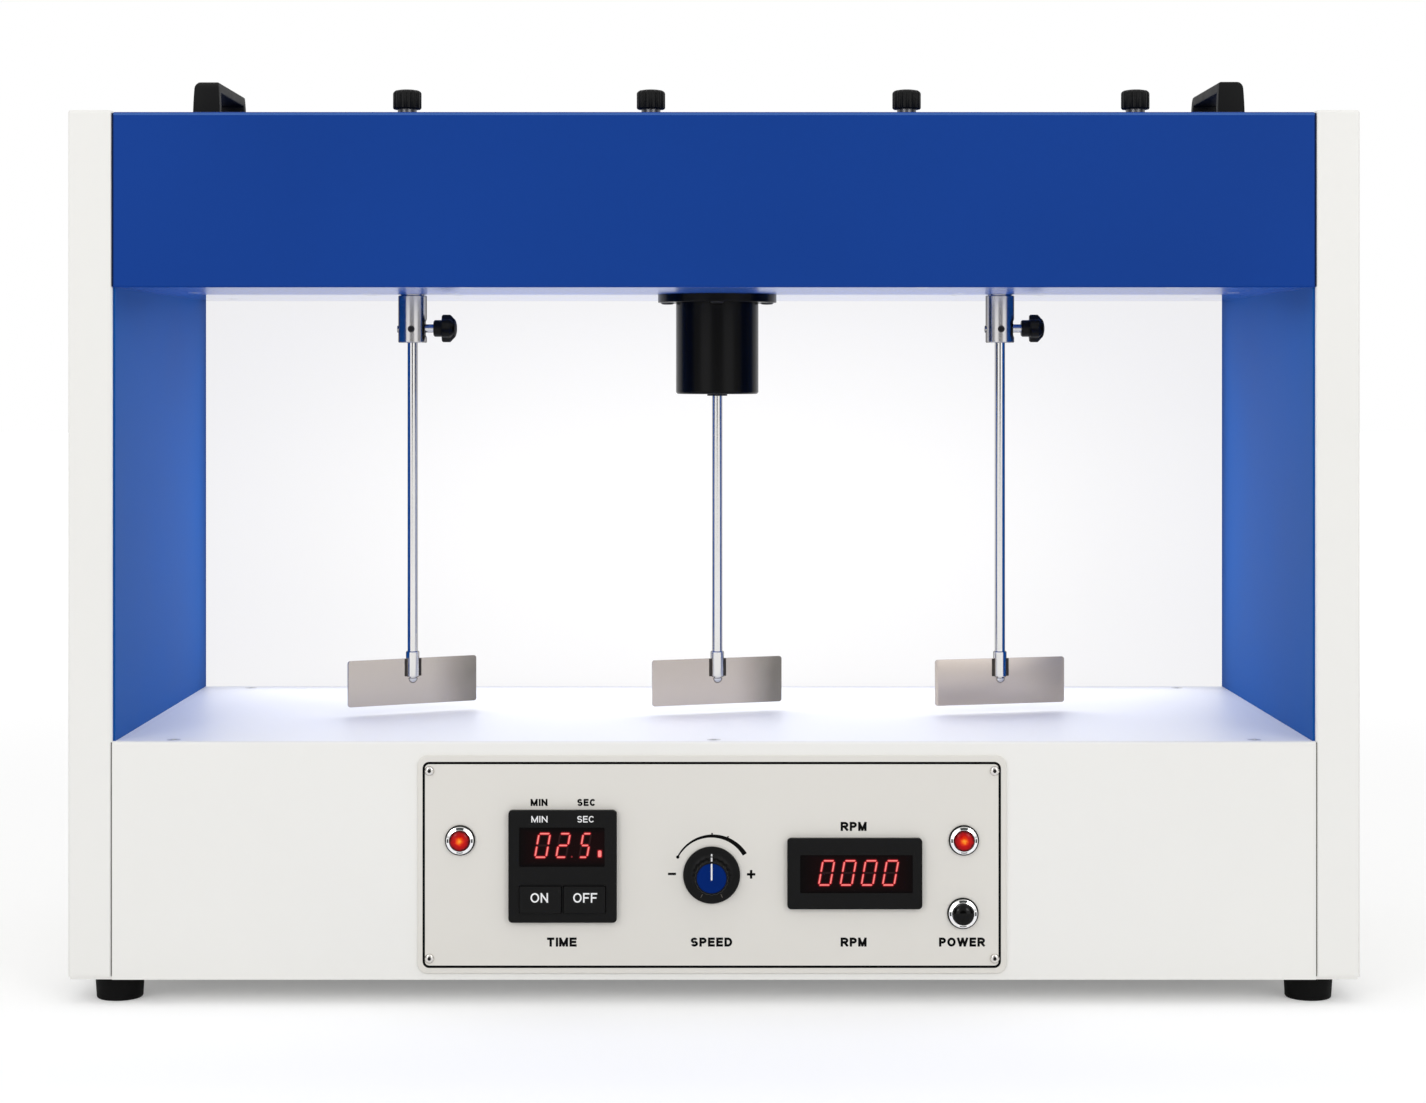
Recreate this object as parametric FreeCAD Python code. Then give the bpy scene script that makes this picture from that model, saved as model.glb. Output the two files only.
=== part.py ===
# Bench jar tester: three stirring paddles hang from a belt-driven head over a deck with controls below.
# Millimetres. +X is to the right of someone who faces the controls, +Y points away from them, +Z is up.
# The origin is on the surface that the feet stand on, under the middle of the whole bounding box.
# "Depth" is a distance back from the plane of the cheeks' front faces; front_y + depth is Y.
import FreeCAD, Part
import math
import os

os.makedirs("parts", exist_ok=True)
Vector = FreeCAD.Vector
X_AXIS = Vector(1, 0, 0)
Y_AXIS = Vector(0, 1, 0)
Z_AXIS = Vector(0, 0, 1)

# ---------------------------------------------------------------- housing
BODY_WIDTH = 659.0
BODY_DEPTH = 290.0
CHEEK_WIDTH = 22.5
FOOT_HEIGHT = 12.4
BASE_HEIGHT = 121.4  # bottom plate's underside to the deck's top
BAY_HEIGHT = 231.6  # deck's top to the head's underside
HEAD_HEIGHT = 89.5
CHEEK_RISE = 1.0  # cheeks stand this much above the head
SHEET = 1.5
EDGE_RADIUS = 1.4
FINE_EDGE = 0.5
SHADOW_GAP = 1.0  # bottom plate's inset under the cheeks
FLANGE_WIDTH = 16.0
WIRE_HOLE_RADIUS = 14.0
WIRE_HOLE_DEPTH = 205.0
LINING_THICKNESS = 1.2
SLIDING_GAP = 0.2  # between plates that are slid in beside each other
LINING_EAR = 12.0  # folded ear that holds the opal panel from behind

# ---------------------------------------------------------------- deck, light box and rear cover
DECK_THICKNESS = 2.0
DECK_SETBACK = 2.6  # rounded front lip ahead of the deck
LIGHT_BOX_DEPTH = 30.0  # opal panel's front face to the back of the housing
OPAL_THICKNESS = 3.0
OPAL_TOP_HIDDEN = 15.0  # how far the opal panel reaches up behind the head's underside
COVER_OVERLAP = 13.0  # rear cover's reach onto each cheek
COVER_TOP_MARGIN = 1.5
VENT_LENGTH = 34.0
VENT_WIDTH = 4.0
VENT_END_FLAT = 0.2  # straight part of a slot's end
VENT_PITCH = 12.0
VENT_COUNT = 14
STRIP_COUNT = 4
STRIP_MARGIN = 36.0
STRIP_END_GAP = 3.8  # between a strip's end and the lining's ear
STRIP_HEIGHT = 10.0
STRIP_BOARD = 1.6
LED_SIZE = 5.0
LED_THICKNESS = 1.4
LEDS_PER_STRIP = 12

# ---------------------------------------------------------------- head and lid
HEAD_PLATE_THICKNESS = 2.0
LID_SIDE_MARGIN = 45.0
LID_SETBACK = 2.6
LID_GAP = 0.3
LID_FRONT_SEAT = 45.0
LID_KNOB_X = (-159.6, -32.8, 100.2, 219.2)
LID_KNOB_DEPTH = 30.0
LID_KNOB_RADIUS = 7.4
LID_KNOB_HEIGHT = 10.2
LID_KNOB_NECK_RADIUS = 3.6
LID_KNOB_NECK_HEIGHT = 4.0
LID_KNOB_CHAMFER = 1.4
LID_KNOB_CROWN = 1.3
LID_KNOB_FLUTES = 14
LID_STUD_RADIUS = 2.5
LID_STUD_LENGTH = 9.0  # below the lid
LID_CLIP_RADIUS = 4.2
LID_CLIP_THICKNESS = 1.1
LEFT_HANDLE_INSET = 51.8
RIGHT_HANDLE_INSET = 46.5
HANDLE_DEPTH = 151.0
HANDLE_LENGTH = 92.0
HANDLE_HEIGHT = 26.4
HANDLE_WIDTH = 13.7
HANDLE_TOP_WIDTH = 10.9
HANDLE_BAR = 5.2
HANDLE_LEG = 8.5
HANDLE_RADIUS = 2.2
HANDLE_INNER_RADIUS = 3.0

# ---------------------------------------------------------------- feet and screws
FOOT_SIDE_INSET = 23.0
FOOT_INSET = 18.0
FOOT_RADIUS = 12.6
FOOT_TAPER = 0.8
FOOT_EDGE = 1.2
FOOT_RECESS_GAP = 0.9
PAN_HEAD_RADIUS = 3.6
PAN_HEAD_HEIGHT = 2.4
PAN_SHANK_RADIUS = 2.0
PAN_LENGTH = 8.0
SUNK_HEAD_RADIUS = 3.6
SUNK_SHANK_RADIUS = 2.0
SUNK_LENGTH = 6.0
SUNK_SOCKET_RADIUS = 1.8
SUNK_SOCKET_DEPTH = 1.2
BUTTON_HEAD_RADIUS = 2.45
BUTTON_HEAD_HEIGHT = 1.5
BUTTON_CROWN = 1.0
BUTTON_SOCKET_DEPTH = 1.1
BUTTON_SHANK_RADIUS = 1.5
BUTTON_LENGTH = 6.0
SCREW_HOLE_GAP = 0.2
THREAD_GAP = 0.02
DECK_SCREW_INSET = 30.0
DECK_SCREW_SETBACK = 8.1
SIDE_SCREW_FRONT_INSET = 50.0
SIDE_SCREW_REAR_INSET = 45.0
PLATE_END_SCREW_INSET = 25.0
PLATE_END_SCREW_DEPTH = 95.0
PLATE_END_SCREW_REAR_INSET = 45.0  # ahead of the opal panel
PLATE_FRONT_SCREW_X = (-127.0, 107.0, 235.0)
PLATE_FRONT_SCREW_DEPTH = 9.0
COVER_SCREW_MARGIN = 28.0
COVER_SCREW_ROWS = 4

# ---------------------------------------------------------------- spindles, rods and paddles
SPINDLE_DEPTH = 130.0
LEFT_SPINDLE_X = -167.4
CENTRE_SPINDLE_X = 1.8
RIGHT_SPINDLE_X = 158.8
RUNNING_GAP = 0.05
PART_GAP = 0.3  # between pieces of different bodies that don't bear on each other
ROD_RADIUS = 2.8
ROD_REACH = 19.6  # above the head's underside
CHUCK_RADIUS = 7.9
CHUCK_LENGTH = 26.1
CHUCK_GAP = 0.5
CHUCK_CHAMFER = 0.4
SHOULDER_RADIUS = 6.5
GRUB_RADIUS = 1.9
GRUB_RISE = 7.5  # above the chuck's lower end
GRUB_PROUD = 0.5
SOCKET_RADIUS = 1.15
SPOT_FACE_RADIUS = 5.3
SPOT_FACE_DEPTH = 0.9
SLEEVE_RADIUS = 3.7
SLEEVE_LENGTH = 18.1
BLADE_LENGTH = 76.2
BLADE_HEIGHT = 25.4
BLADE_THICKNESS = 1.2
BLADE_CORNER = 1.5
BLADE_CLEARANCE = 4.4  # blade's lower edge above the deck
BLADE_BELOW_SLEEVE = 11.2
LEFT_YAW = 28.0
CENTRE_YAW = 20.0
RIGHT_YAW = 15.6
CLAMP_RISE = 7.9  # above the chuck's lower end
CLAMP_SCREW_RADIUS = 2.45
CLAMP_NECK_LENGTH = 3.9
CLAMP_HUB_RADIUS = 4.65
CLAMP_HUB_LENGTH = 4.5
CLAMP_HEAD_RADIUS = 7.65
CLAMP_HEAD_LENGTH = 8.4
CLAMP_LOBES = 6
CLAMP_LOBE_CUT = 2.2
CLAMP_LOBE_SHIFT = 1.0
CLAMP_DOME = 2.9

# ---------------------------------------------------------------- bearings, motor and belt drive
BEARING_BORE = 5.0
BEARING_RADIUS = 11.0
BEARING_WIDTH = 6.0
HOUSING_HEIGHT = 30.0
HOUSING_RADIUS = 15.0
HOUSING_FLANGE_X = 60.0
HOUSING_FLANGE_Y = 44.0
HOUSING_FLANGE_HEIGHT = 4.0
HOUSING_SCREW_X = 24.0
HOUSING_SCREW_Y = 16.0
MOTOR_FLANGE_HEIGHT = 4.5
MOTOR_CAN_RADIUS = 22.9
MOTOR_CAN_LENGTH = 50.6
MOTOR_WALL = 2.0
MOTOR_EDGE = 1.5
MOTOR_BOSS_RADIUS = 5.6
MOTOR_BOSS_HEIGHT = 1.0
MOTOR_SCREW_SPACING = 4.7  # from the can to the screws' circle
MOTOR_SCREW_RIM = 5.3
MOTOR_SCREWS = 4
MOTOR_EXIT_GAP = 0.4
AIR_GAP = 0.6
ROTOR_RADIUS = 15.0
ROTOR_LENGTH = 26.0
STATOR_LENGTH = 30.0
STATOR_SLOTS = 12
STATOR_SLOT_WIDTH = 3.0
STATOR_BACK = 2.3
ROD_SOCKET_DEPTH = 25.0
BELT_PITCH = 12.0  # between the two belts
BELT_WIDTH = 6.0
BELT_THICKNESS = 1.5
TRACK_RADIUS = 20.0
TRACK_WIDTH = 7.0
PULLEY_FLANGE = 1.5
PULLEY_FLANGE_RISE = 2.8
PULLEY_HUB_STEP = 1.1
PULLEY_HUB_RADIUS = 8.0
SHAFT_ABOVE_PULLEY = 3.0

# ---------------------------------------------------------------- control panel
PANEL_X = -1.0
PANEL_WIDTH = 300.0
PANEL_TOP_MARGIN = 7.0
PANEL_BOTTOM_MARGIN = 3.4
PANEL_THICKNESS = 1.5
PANEL_CORNER = 5.0
PANEL_SCREW_SIDE_INSET = 6.1
PANEL_SCREW_END_INSET = 7.75
PANEL_BACK_MARGIN = 11.0
MODULE_GAP = 0.2
BEZEL_HEIGHT = 3.5
BEZEL_CORNER = 2.0
BEZEL_EDGE = 0.6
WINDOW_RECESS = 0.8
TIMER_INSET = 74.0
TIMER_DROP = 0.5
TIMER_WIDTH = 55.1
TIMER_HEIGHT = 57.1
TIMER_WINDOW_LEFT = 5.55
TIMER_WINDOW_RIGHT = 6.15
TIMER_WINDOW_TOP = 8.6
TIMER_WINDOW_HEIGHT = 19.9
MODULE_INSET = 3.0
MODULE_DEPTH = 45.0
KEY_SIDE_MARGIN = 5.75
KEY_SPACING = 1.2
KEY_HEIGHT = 13.6
KEY_BOTTOM_MARGIN = 5.15
KEY_GAP = 0.25
KEY_PROUD = 1.4
KEY_BACK = 0.6
KEY_LIP = 0.8
KEY_LIP_THICKNESS = 1.2
KEY_TRAVEL = 1.2
KEY_ROOM = 0.8
KEY_CORNER = 0.8
RPM_INSET = 77.4
RPM_DROP = 4.2
RPM_WIDTH = 68.6
RPM_HEIGHT = 36.0
RPM_WINDOW_LEFT = 6.5
RPM_WINDOW_RIGHT = 4.9
RPM_WINDOW_EDGE = 8.35
DIAL_SHIFT = 0.2
DIAL_DROP = 5.1
DIAL_GAP = 0.5
DIAL_HEIGHT = 11.0
DIAL_RADIUS = 14.5
DIAL_SKIRT = 1.6
DIAL_GRIP_BASE = 4.6
DIAL_TAPER = 0.7
DIAL_RIM = 0.6
DIAL_CAP_RADIUS = 7.9
DIAL_CAP_THICKNESS = 1.0
DIAL_FLUTES = 20
DIAL_POCKET = 4.0
DIAL_SHAFT_RADIUS = 3.0
DIAL_SHAFT_BACK = 6.0
POT_RADIUS = 8.5
POT_LENGTH = 10.0
POT_BUSH_WALL = 0.6
POT_NUT_WALL = 1.9
POT_NUT_HEIGHT = 1.6
LEFT_LAMP_INSET = 21.7
RIGHT_LAMP_INSET = 21.8
LAMP_RISE = 12.5
LAMP_LENS_RADIUS = 5.2
LAMP_BARREL_WALL = 1.0
LAMP_RIM_WIDTH = 1.7
LAMP_BARREL_DEPTH = 20.0
LAMP_RIM = 3.0
LAMP_LENS_PROUD = 1.8
LAMP_LENS_BACK = 2.0
LAMP_END_WALL = 2.0
LAMP_NUT_WALL = 2.4
BARREL_NUT_HEIGHT = 3.0
POWER_INSET = 22.3
POWER_DROP = 24.7
POWER_BARREL_WALL = 1.15
POWER_RIM_WIDTH = 0.9
POWER_NUT_WALL = 1.7
POWER_BARREL_DEPTH = 24.0
POWER_BUTTON_RADIUS = 5.45
POWER_BUTTON_PROUD = 4.0
POWER_BUTTON_BACK = 3.0
POWER_TRAVEL = 3.0
POWER_ROOM = 2.0
POWER_DOME = 2.4

# ---------------------------------------------------------------- grips
FLUTE_SHIFT = 0.6  # a flute's centre lies this share of its radius outside the grip

# ---------------------------------------------------------------- electrics
SUPPLY_X = 150.0
SUPPLY_SIZE = (128.0, 96.0, 38.0)
SUPPLY_DEPTH = 130.0
SUPPLY_SLOTS = 9
SUPPLY_SLOT_PITCH = 10.0
SUPPLY_TERMINAL = 12.0
DRIVER_X = -140.0
DRIVER_SIZE = (110.0, 80.0, 1.6)
DRIVER_DEPTH = 140.0
DRIVER_STANDOFF = 6.0
DRIVER_POST_RADIUS = 3.0
DRIVER_POST_INSET = 6.0
HEAT_SINK_SIZE = (40.0, 30.0, 22.0)
HEAT_SINK_BASE = 4.0
HEAT_SINK_FINS = 6
HEAT_SINK_FIN = 2.0
CAPACITOR_RADIUS = 8.0
CAPACITOR_HEIGHT = 25.0
CAPACITOR_PITCH = 19.0
INLET_X = 205.0
INLET_RISE = 59.6  # above the bottom plate's underside
INLET_WIDTH = 48.0
INLET_HEIGHT = 25.0
INLET_RIM = 3.0
INLET_BODY_WIDTH = 27.4
INLET_BODY_HEIGHT = 19.8
INLET_BODY_DEPTH = 22.0
INLET_MOUTH_WIDTH = 24.4
INLET_MOUTH_HEIGHT = 16.6
INLET_MOUTH_DEPTH = 17.0
INLET_CORNER = 4.0
INLET_BODY_CORNER = 1.0
PIN_WIDTH = 2.0
PIN_HEIGHT = 4.0
PIN_PITCH = 7.0
PIN_DROP = 2.0
PIN_RECESS = 6.0

# ---------------------------------------------------------------- levels and planes worked out from them
half_width = BODY_WIDTH / 2
inner_half = half_width - CHEEK_WIDTH
lining_half = inner_half - LINING_THICKNESS
strip_length = 2 * (lining_half - LINING_EAR - STRIP_END_GAP)
lid_half = inner_half - LID_SIDE_MARGIN
handle_places = (LEFT_HANDLE_INSET - half_width, half_width - RIGHT_HANDLE_INSET)
foot_x = half_width - FOOT_SIDE_INSET
foot_bottom_radius = FOOT_RADIUS - FOOT_TAPER
deck_screw_x = inner_half - DECK_SCREW_INSET
side_screw_depths = (SIDE_SCREW_FRONT_INSET, BODY_DEPTH - SIDE_SCREW_REAR_INSET)
vent_corner = (VENT_WIDTH - VENT_END_FLAT) / 2
light_depth = BODY_DEPTH - LIGHT_BOX_DEPTH
plate_end_screw_depths = (PLATE_END_SCREW_DEPTH, light_depth - PLATE_END_SCREW_REAR_INSET)
bottom_z = FOOT_HEIGHT
floor_z = bottom_z + SHEET
deck_top_z = bottom_z + BASE_HEIGHT
deck_seat_z = deck_top_z - DECK_THICKNESS
head_bottom_z = deck_top_z + BAY_HEIGHT
head_top_z = head_bottom_z + HEAD_HEIGHT
cheek_top_z = head_top_z + CHEEK_RISE
lid_seat_z = head_top_z - SHEET
plate_top_z = head_bottom_z + HEAD_PLATE_THICKNESS
opal_back = light_depth + OPAL_THICKNESS
housing_top_z = plate_top_z + HOUSING_HEIGHT
panel_front = -PANEL_THICKNESS
bezel_front = panel_front - BEZEL_HEIGHT
knob_reach = PANEL_THICKNESS + DIAL_GAP + DIAL_HEIGHT
rear_reach = SHEET + INLET_RIM
front_y = knob_reach - (knob_reach + BODY_DEPTH + rear_reach) / 2
blade_bottom_z = deck_top_z + BLADE_CLEARANCE
blade_top_z = blade_bottom_z + BLADE_HEIGHT
sleeve_bottom_z = blade_bottom_z + BLADE_BELOW_SLEEVE
chuck_top_z = head_bottom_z - CHUCK_GAP
chuck_bottom_z = chuck_top_z - CHUCK_LENGTH
motor_flange_z = head_bottom_z - MOTOR_FLANGE_HEIGHT
motor_bottom_z = motor_flange_z - MOTOR_CAN_LENGTH
lower_motor_bearing_z = motor_bottom_z + MOTOR_WALL
upper_motor_bearing_z = head_bottom_z - BEARING_WIDTH
stator_mid_z = (lower_motor_bearing_z + BEARING_WIDTH + upper_motor_bearing_z) / 2
lower_bearing_z = plate_top_z
upper_bearing_z = housing_top_z - BEARING_WIDTH
shaft_radius = BEARING_BORE - RUNNING_GAP
pulley_half = TRACK_WIDTH / 2 + PULLEY_FLANGE
pulley_flange_radius = TRACK_RADIUS + PULLEY_FLANGE_RISE
pulley_bottom_z = housing_top_z + CHUCK_GAP
lower_belt_z = pulley_bottom_z + PULLEY_HUB_STEP + pulley_half
upper_belt_z = lower_belt_z + BELT_PITCH
rod_top_z = head_bottom_z + ROD_REACH
grub_z = chuck_bottom_z + GRUB_RISE
clamp_z = chuck_bottom_z + CLAMP_RISE
spot_face_reach = CHUCK_RADIUS - SPOT_FACE_DEPTH
clamp_hub_start = CHUCK_RADIUS + CLAMP_NECK_LENGTH
clamp_head_start = clamp_hub_start + CLAMP_HUB_LENGTH
clamp_head_end = clamp_head_start + CLAMP_HEAD_LENGTH
motor_screw_radius = MOTOR_CAN_RADIUS + MOTOR_SCREW_SPACING
motor_flange_radius = motor_screw_radius + MOTOR_SCREW_RIM

# ---------------------------------------------------------------- panel places worked out from the sizes
panel_height = BASE_HEIGHT - PANEL_TOP_MARGIN - PANEL_BOTTOM_MARGIN
panel_z = bottom_z + PANEL_BOTTOM_MARGIN + panel_height / 2
panel_left = PANEL_X - PANEL_WIDTH / 2
panel_right = PANEL_X + PANEL_WIDTH / 2
panel_screw_x = PANEL_WIDTH / 2 - PANEL_SCREW_SIDE_INSET
panel_screw_z = panel_height / 2 - PANEL_SCREW_END_INSET
timer_x = panel_left + TIMER_INSET
timer_z = panel_z - TIMER_DROP
timer_window_width = TIMER_WIDTH - TIMER_WINDOW_LEFT - TIMER_WINDOW_RIGHT
timer_window_x = timer_x + (TIMER_WINDOW_LEFT - TIMER_WINDOW_RIGHT) / 2
timer_window_z = timer_z + TIMER_HEIGHT / 2 - TIMER_WINDOW_TOP - TIMER_WINDOW_HEIGHT / 2
key_width = (TIMER_WIDTH - KEY_SPACING) / 2 - KEY_SIDE_MARGIN
key_pitch = key_width + KEY_SPACING
key_z = timer_z - TIMER_HEIGHT / 2 + KEY_BOTTOM_MARGIN + KEY_HEIGHT / 2
rpm_x = panel_right - RPM_INSET
rpm_z = panel_z - RPM_DROP
rpm_window_width = RPM_WIDTH - RPM_WINDOW_LEFT - RPM_WINDOW_RIGHT
rpm_window_x = rpm_x + (RPM_WINDOW_LEFT - RPM_WINDOW_RIGHT) / 2
rpm_window_height = RPM_HEIGHT - 2 * RPM_WINDOW_EDGE
dial_x = PANEL_X - DIAL_SHIFT
dial_z = panel_z - DIAL_DROP
dial_front_radius = DIAL_CAP_RADIUS + DIAL_RIM
dial_grip_radius = dial_front_radius + DIAL_TAPER
pot_bush_radius = DIAL_SHAFT_RADIUS + POT_BUSH_WALL
pot_nut_radius = pot_bush_radius + POT_NUT_WALL
lamp_x = (panel_left + LEFT_LAMP_INSET, panel_right - RIGHT_LAMP_INSET)
lamp_z = panel_z + LAMP_RISE
lamp_barrel_radius = LAMP_LENS_RADIUS + LAMP_BARREL_WALL
lamp_bezel_radius = lamp_barrel_radius + LAMP_RIM_WIDTH
power_x = panel_right - POWER_INSET
power_z = panel_z - POWER_DROP
power_barrel_radius = POWER_BUTTON_RADIUS + PART_GAP + POWER_BARREL_WALL
power_bezel_radius = power_barrel_radius + POWER_RIM_WIDTH
inlet_z = bottom_z + INLET_RISE


# ---------------------------------------------------------------- building blocks
def point(x, depth, z):
    """Position in the object's frame from a depth behind the front plane."""
    return Vector(x, front_y + depth, z)


def block(x_span, depth_span, z_span):
    """Rectangular solid between three spans."""
    size = [high - low for low, high in (x_span, depth_span, z_span)]
    return Part.makeBox(*size, point(x_span[0], depth_span[0], z_span[0]))


def rod(radius, start, end):
    """Round bar between two positions."""
    return Part.makeCylinder(radius, (end - start).Length, start, end - start)


def upright(radius, x, depth, z_span):
    """Vertical round bar."""
    return rod(radius, point(x, depth, z_span[0]), point(x, depth, z_span[1]))


def level(radius, x, z, depth_span):
    """Round bar that lies from front to back."""
    return rod(radius, point(x, depth_span[0], z), point(x, depth_span[1], z))


def cone_bar(radius_start, radius_end, start, end):
    """Tapered round bar between two positions."""
    return Part.makeCone(radius_start, radius_end, (end - start).Length, start, end - start)


def join(shapes):
    """One solid out of pieces that touch or overlap."""
    return shapes[0].fuse(list(shapes[1:])).removeSplitter()


def runs_along(edge, axis):
    """True for a straight edge parallel to the axis."""
    if not isinstance(edge.Curve, Part.Line):
        return False
    direction = edge.tangentAt(edge.FirstParameter)
    return abs(abs(direction.dot(axis)) - 1) < 1e-6


def lies_at(edge, axis, places):
    """True when the middle of the edge is at one of the places along the axis."""
    middle = edge.CenterOfMass.dot(axis)
    return any(abs(middle - place) < 1e-4 for place in places)


def round_edges(shape, radius, chosen):
    """Fillet the edges that the test picks."""
    return shape.makeFillet(radius, [edge for edge in shape.Edges if chosen(edge)])


def round_tile(centre, size, corner, depth_span):
    """Upright tile with rounded corners; centre and size are (x, z) and (width, height)."""
    x_span = (centre[0] - size[0] / 2, centre[0] + size[0] / 2)
    z_span = (centre[1] - size[1] / 2, centre[1] + size[1] / 2)
    tile = block(x_span, depth_span, z_span)
    return round_edges(tile, corner, lambda edge: runs_along(edge, Y_AXIS))


def soften_front(shape, radius, depth):
    """Round every edge that lies in an upright plane at this depth."""
    plane = front_y + depth
    return round_edges(
        shape,
        radius,
        lambda edge: abs(edge.BoundBox.YMin - plane) < 1e-4 and abs(edge.BoundBox.YMax - plane) < 1e-4,
    )


def turned(profile, origin, axis, across):
    """Solid of revolution; the profile holds (radius, distance along the axis) pairs."""
    points = [origin + across * radius + axis * along for radius, along in profile]
    face = Part.Face(Part.makePolygon(points + [points[0]]))
    return face.revolve(origin, axis, 360)


def dome(radius, height, base, direction):
    """Shallow spherical cap that stands on a round face."""
    sphere_radius = (radius * radius + height * height) / (2 * height)
    ball = Part.makeSphere(sphere_radius, base + direction * (height - sphere_radius))
    return ball.common(rod(radius, base, base + direction * height))


def hexagon(radius, start, end):
    """Six-sided bar between two positions."""
    axis = (end - start).normalize()
    side = X_AXIS if abs(axis.dot(X_AXIS)) < 0.5 else Z_AXIS
    corner = side * radius
    turn = FreeCAD.Rotation(axis, 60)
    points = []
    for _ in range(6):
        points.append(start + corner)
        corner = turn.multVec(corner)
    return Part.Face(Part.makePolygon(points + [points[0]])).extrude(end - start)


def mirrored(shape):
    """The same piece on the other side of the middle."""
    return shape.mirror(Vector(0, 0, 0), X_AXIS)


def loop_of(radius, ends, z_span):
    """Straight-sided bar with round ends, seen from above."""
    left, right = sorted(ends)
    middle = block((left, right), (SPINDLE_DEPTH - radius, SPINDLE_DEPTH + radius), z_span)
    return join([middle] + [upright(radius, x, SPINDLE_DEPTH, z_span) for x in (left, right)])


# ---------------------------------------------------------------- screws
def pan_screw(seat, inward):
    """Pan head screw whose head sits on the seat and whose shank points inward."""
    top = seat - inward * PAN_HEAD_HEIGHT
    crown = PAN_HEAD_HEIGHT / 2
    head = rod(PAN_HEAD_RADIUS, seat - inward * crown, seat)
    cap = dome(PAN_HEAD_RADIUS, crown, seat - inward * crown, inward * -1)
    shank = rod(PAN_SHANK_RADIUS, seat, seat + inward * PAN_LENGTH)
    socket = hexagon(SOCKET_RADIUS, top - inward, top + inward * crown)
    return join([head, cap, shank]).cut(socket)


def sunk_screw(surface, inward):
    """Countersunk screw whose head is flush with the surface."""
    cone_height = SUNK_HEAD_RADIUS - SUNK_SHANK_RADIUS
    head = cone_bar(SUNK_HEAD_RADIUS, SUNK_SHANK_RADIUS, surface, surface + inward * cone_height)
    shank = rod(SUNK_SHANK_RADIUS, surface + inward * cone_height, surface + inward * SUNK_LENGTH)
    socket = hexagon(SUNK_SOCKET_RADIUS, surface - inward, surface + inward * SUNK_SOCKET_DEPTH)
    return join([head, shank]).cut(socket)


def button_screw(seat, inward):
    """Button head screw with a hexagon socket."""
    top = seat - inward * BUTTON_HEAD_HEIGHT
    rim = top + inward * BUTTON_CROWN
    head = rod(BUTTON_HEAD_RADIUS, rim, seat)
    cap = dome(BUTTON_HEAD_RADIUS, BUTTON_CROWN, rim, inward * -1)
    shank = rod(BUTTON_SHANK_RADIUS, seat, seat + inward * BUTTON_LENGTH)
    socket = hexagon(SOCKET_RADIUS, top - inward, top + inward * BUTTON_SOCKET_DEPTH)
    return join([head, cap, shank]).cut(socket)


def through_hole(shank_radius, seat, inward, length):
    """Clearance hole for a screw, from its seat inwards."""
    return rod(shank_radius + SCREW_HOLE_GAP, seat - inward, seat + inward * length)


def tapped_hole(shank_radius, start, inward, length):
    """Hole that a screw grips."""
    return rod(shank_radius + THREAD_GAP, start, start + inward * length)


def sunk_hole(surface, inward, length):
    """Countersunk clearance hole."""
    cone_height = SUNK_HEAD_RADIUS - SUNK_SHANK_RADIUS
    mouth = cone_bar(SUNK_HEAD_RADIUS, SUNK_SHANK_RADIUS, surface, surface + inward * cone_height)
    return join([mouth, through_hole(SUNK_SHANK_RADIUS, surface, inward, length)])


def foot_places():
    """Centre (x, depth) of each foot."""
    return [(x, depth) for x in (-foot_x, foot_x) for depth in (FOOT_INSET, BODY_DEPTH - FOOT_INSET)]


def deck_screw_places():
    """(x, depth) of the deck's screws."""
    depths = (DECK_SCREW_SETBACK, light_depth - DECK_SCREW_SETBACK)
    return [(x, depth) for x in (-deck_screw_x, 0, deck_screw_x) for depth in depths]


def plate_screw_places():
    """(x, depth) of the screws that hold the head's bottom plate to the head's flanges."""
    end_x = inner_half - PLATE_END_SCREW_INSET
    ends = [(x, depth) for x in (-end_x, end_x) for depth in plate_end_screw_depths]
    return ends + [(x, PLATE_FRONT_SCREW_DEPTH) for x in PLATE_FRONT_SCREW_X]


def housing_screw_places():
    """(x, depth) of the screws that hold both bearing housings on the head's bottom plate."""
    places = []
    for spindle_x in (LEFT_SPINDLE_X, RIGHT_SPINDLE_X):
        for side_x in (-HOUSING_SCREW_X, HOUSING_SCREW_X):
            for side_y in (-HOUSING_SCREW_Y, HOUSING_SCREW_Y):
                places.append((spindle_x + side_x, SPINDLE_DEPTH + side_y))
    return places


def motor_screw_places():
    """(x, depth) of the screws in the motor's flange."""
    places = []
    for index in range(MOTOR_SCREWS):
        angle = 2 * math.pi * index / MOTOR_SCREWS
        x = CENTRE_SPINDLE_X + motor_screw_radius * math.cos(angle)
        places.append((x, SPINDLE_DEPTH + motor_screw_radius * math.sin(angle)))
    return places


def handle_screw_places():
    """(x, depth) of the screws in the handles' legs."""
    reach = (HANDLE_LENGTH - HANDLE_LEG) / 2
    return [(x, HANDLE_DEPTH + side * reach) for x in handle_places for side in (-1, 1)]


def side_screw_levels():
    """Heights of the screws between the base or head and the cheeks."""
    return ((floor_z + deck_seat_z) / 2, (head_bottom_z + head_top_z) / 2)


def cover_screw_places():
    """(x, z) of the rear cover's screws."""
    x = inner_half + COVER_OVERLAP / 2
    low = floor_z + COVER_SCREW_MARGIN
    high = head_top_z - COVER_SCREW_MARGIN
    step = (high - low) / (COVER_SCREW_ROWS - 1)
    return [(side * x, low + row * step) for side in (-1, 1) for row in range(COVER_SCREW_ROWS)]


def countersunk_screws():
    screws = [sunk_screw(point(x, depth, deck_top_z), Z_AXIS * -1) for x, depth in deck_screw_places()]
    below = plate_screw_places() + housing_screw_places()
    screws += [sunk_screw(point(x, depth, head_bottom_z), Z_AXIS) for x, depth in below]
    return Part.makeCompound(screws)


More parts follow.
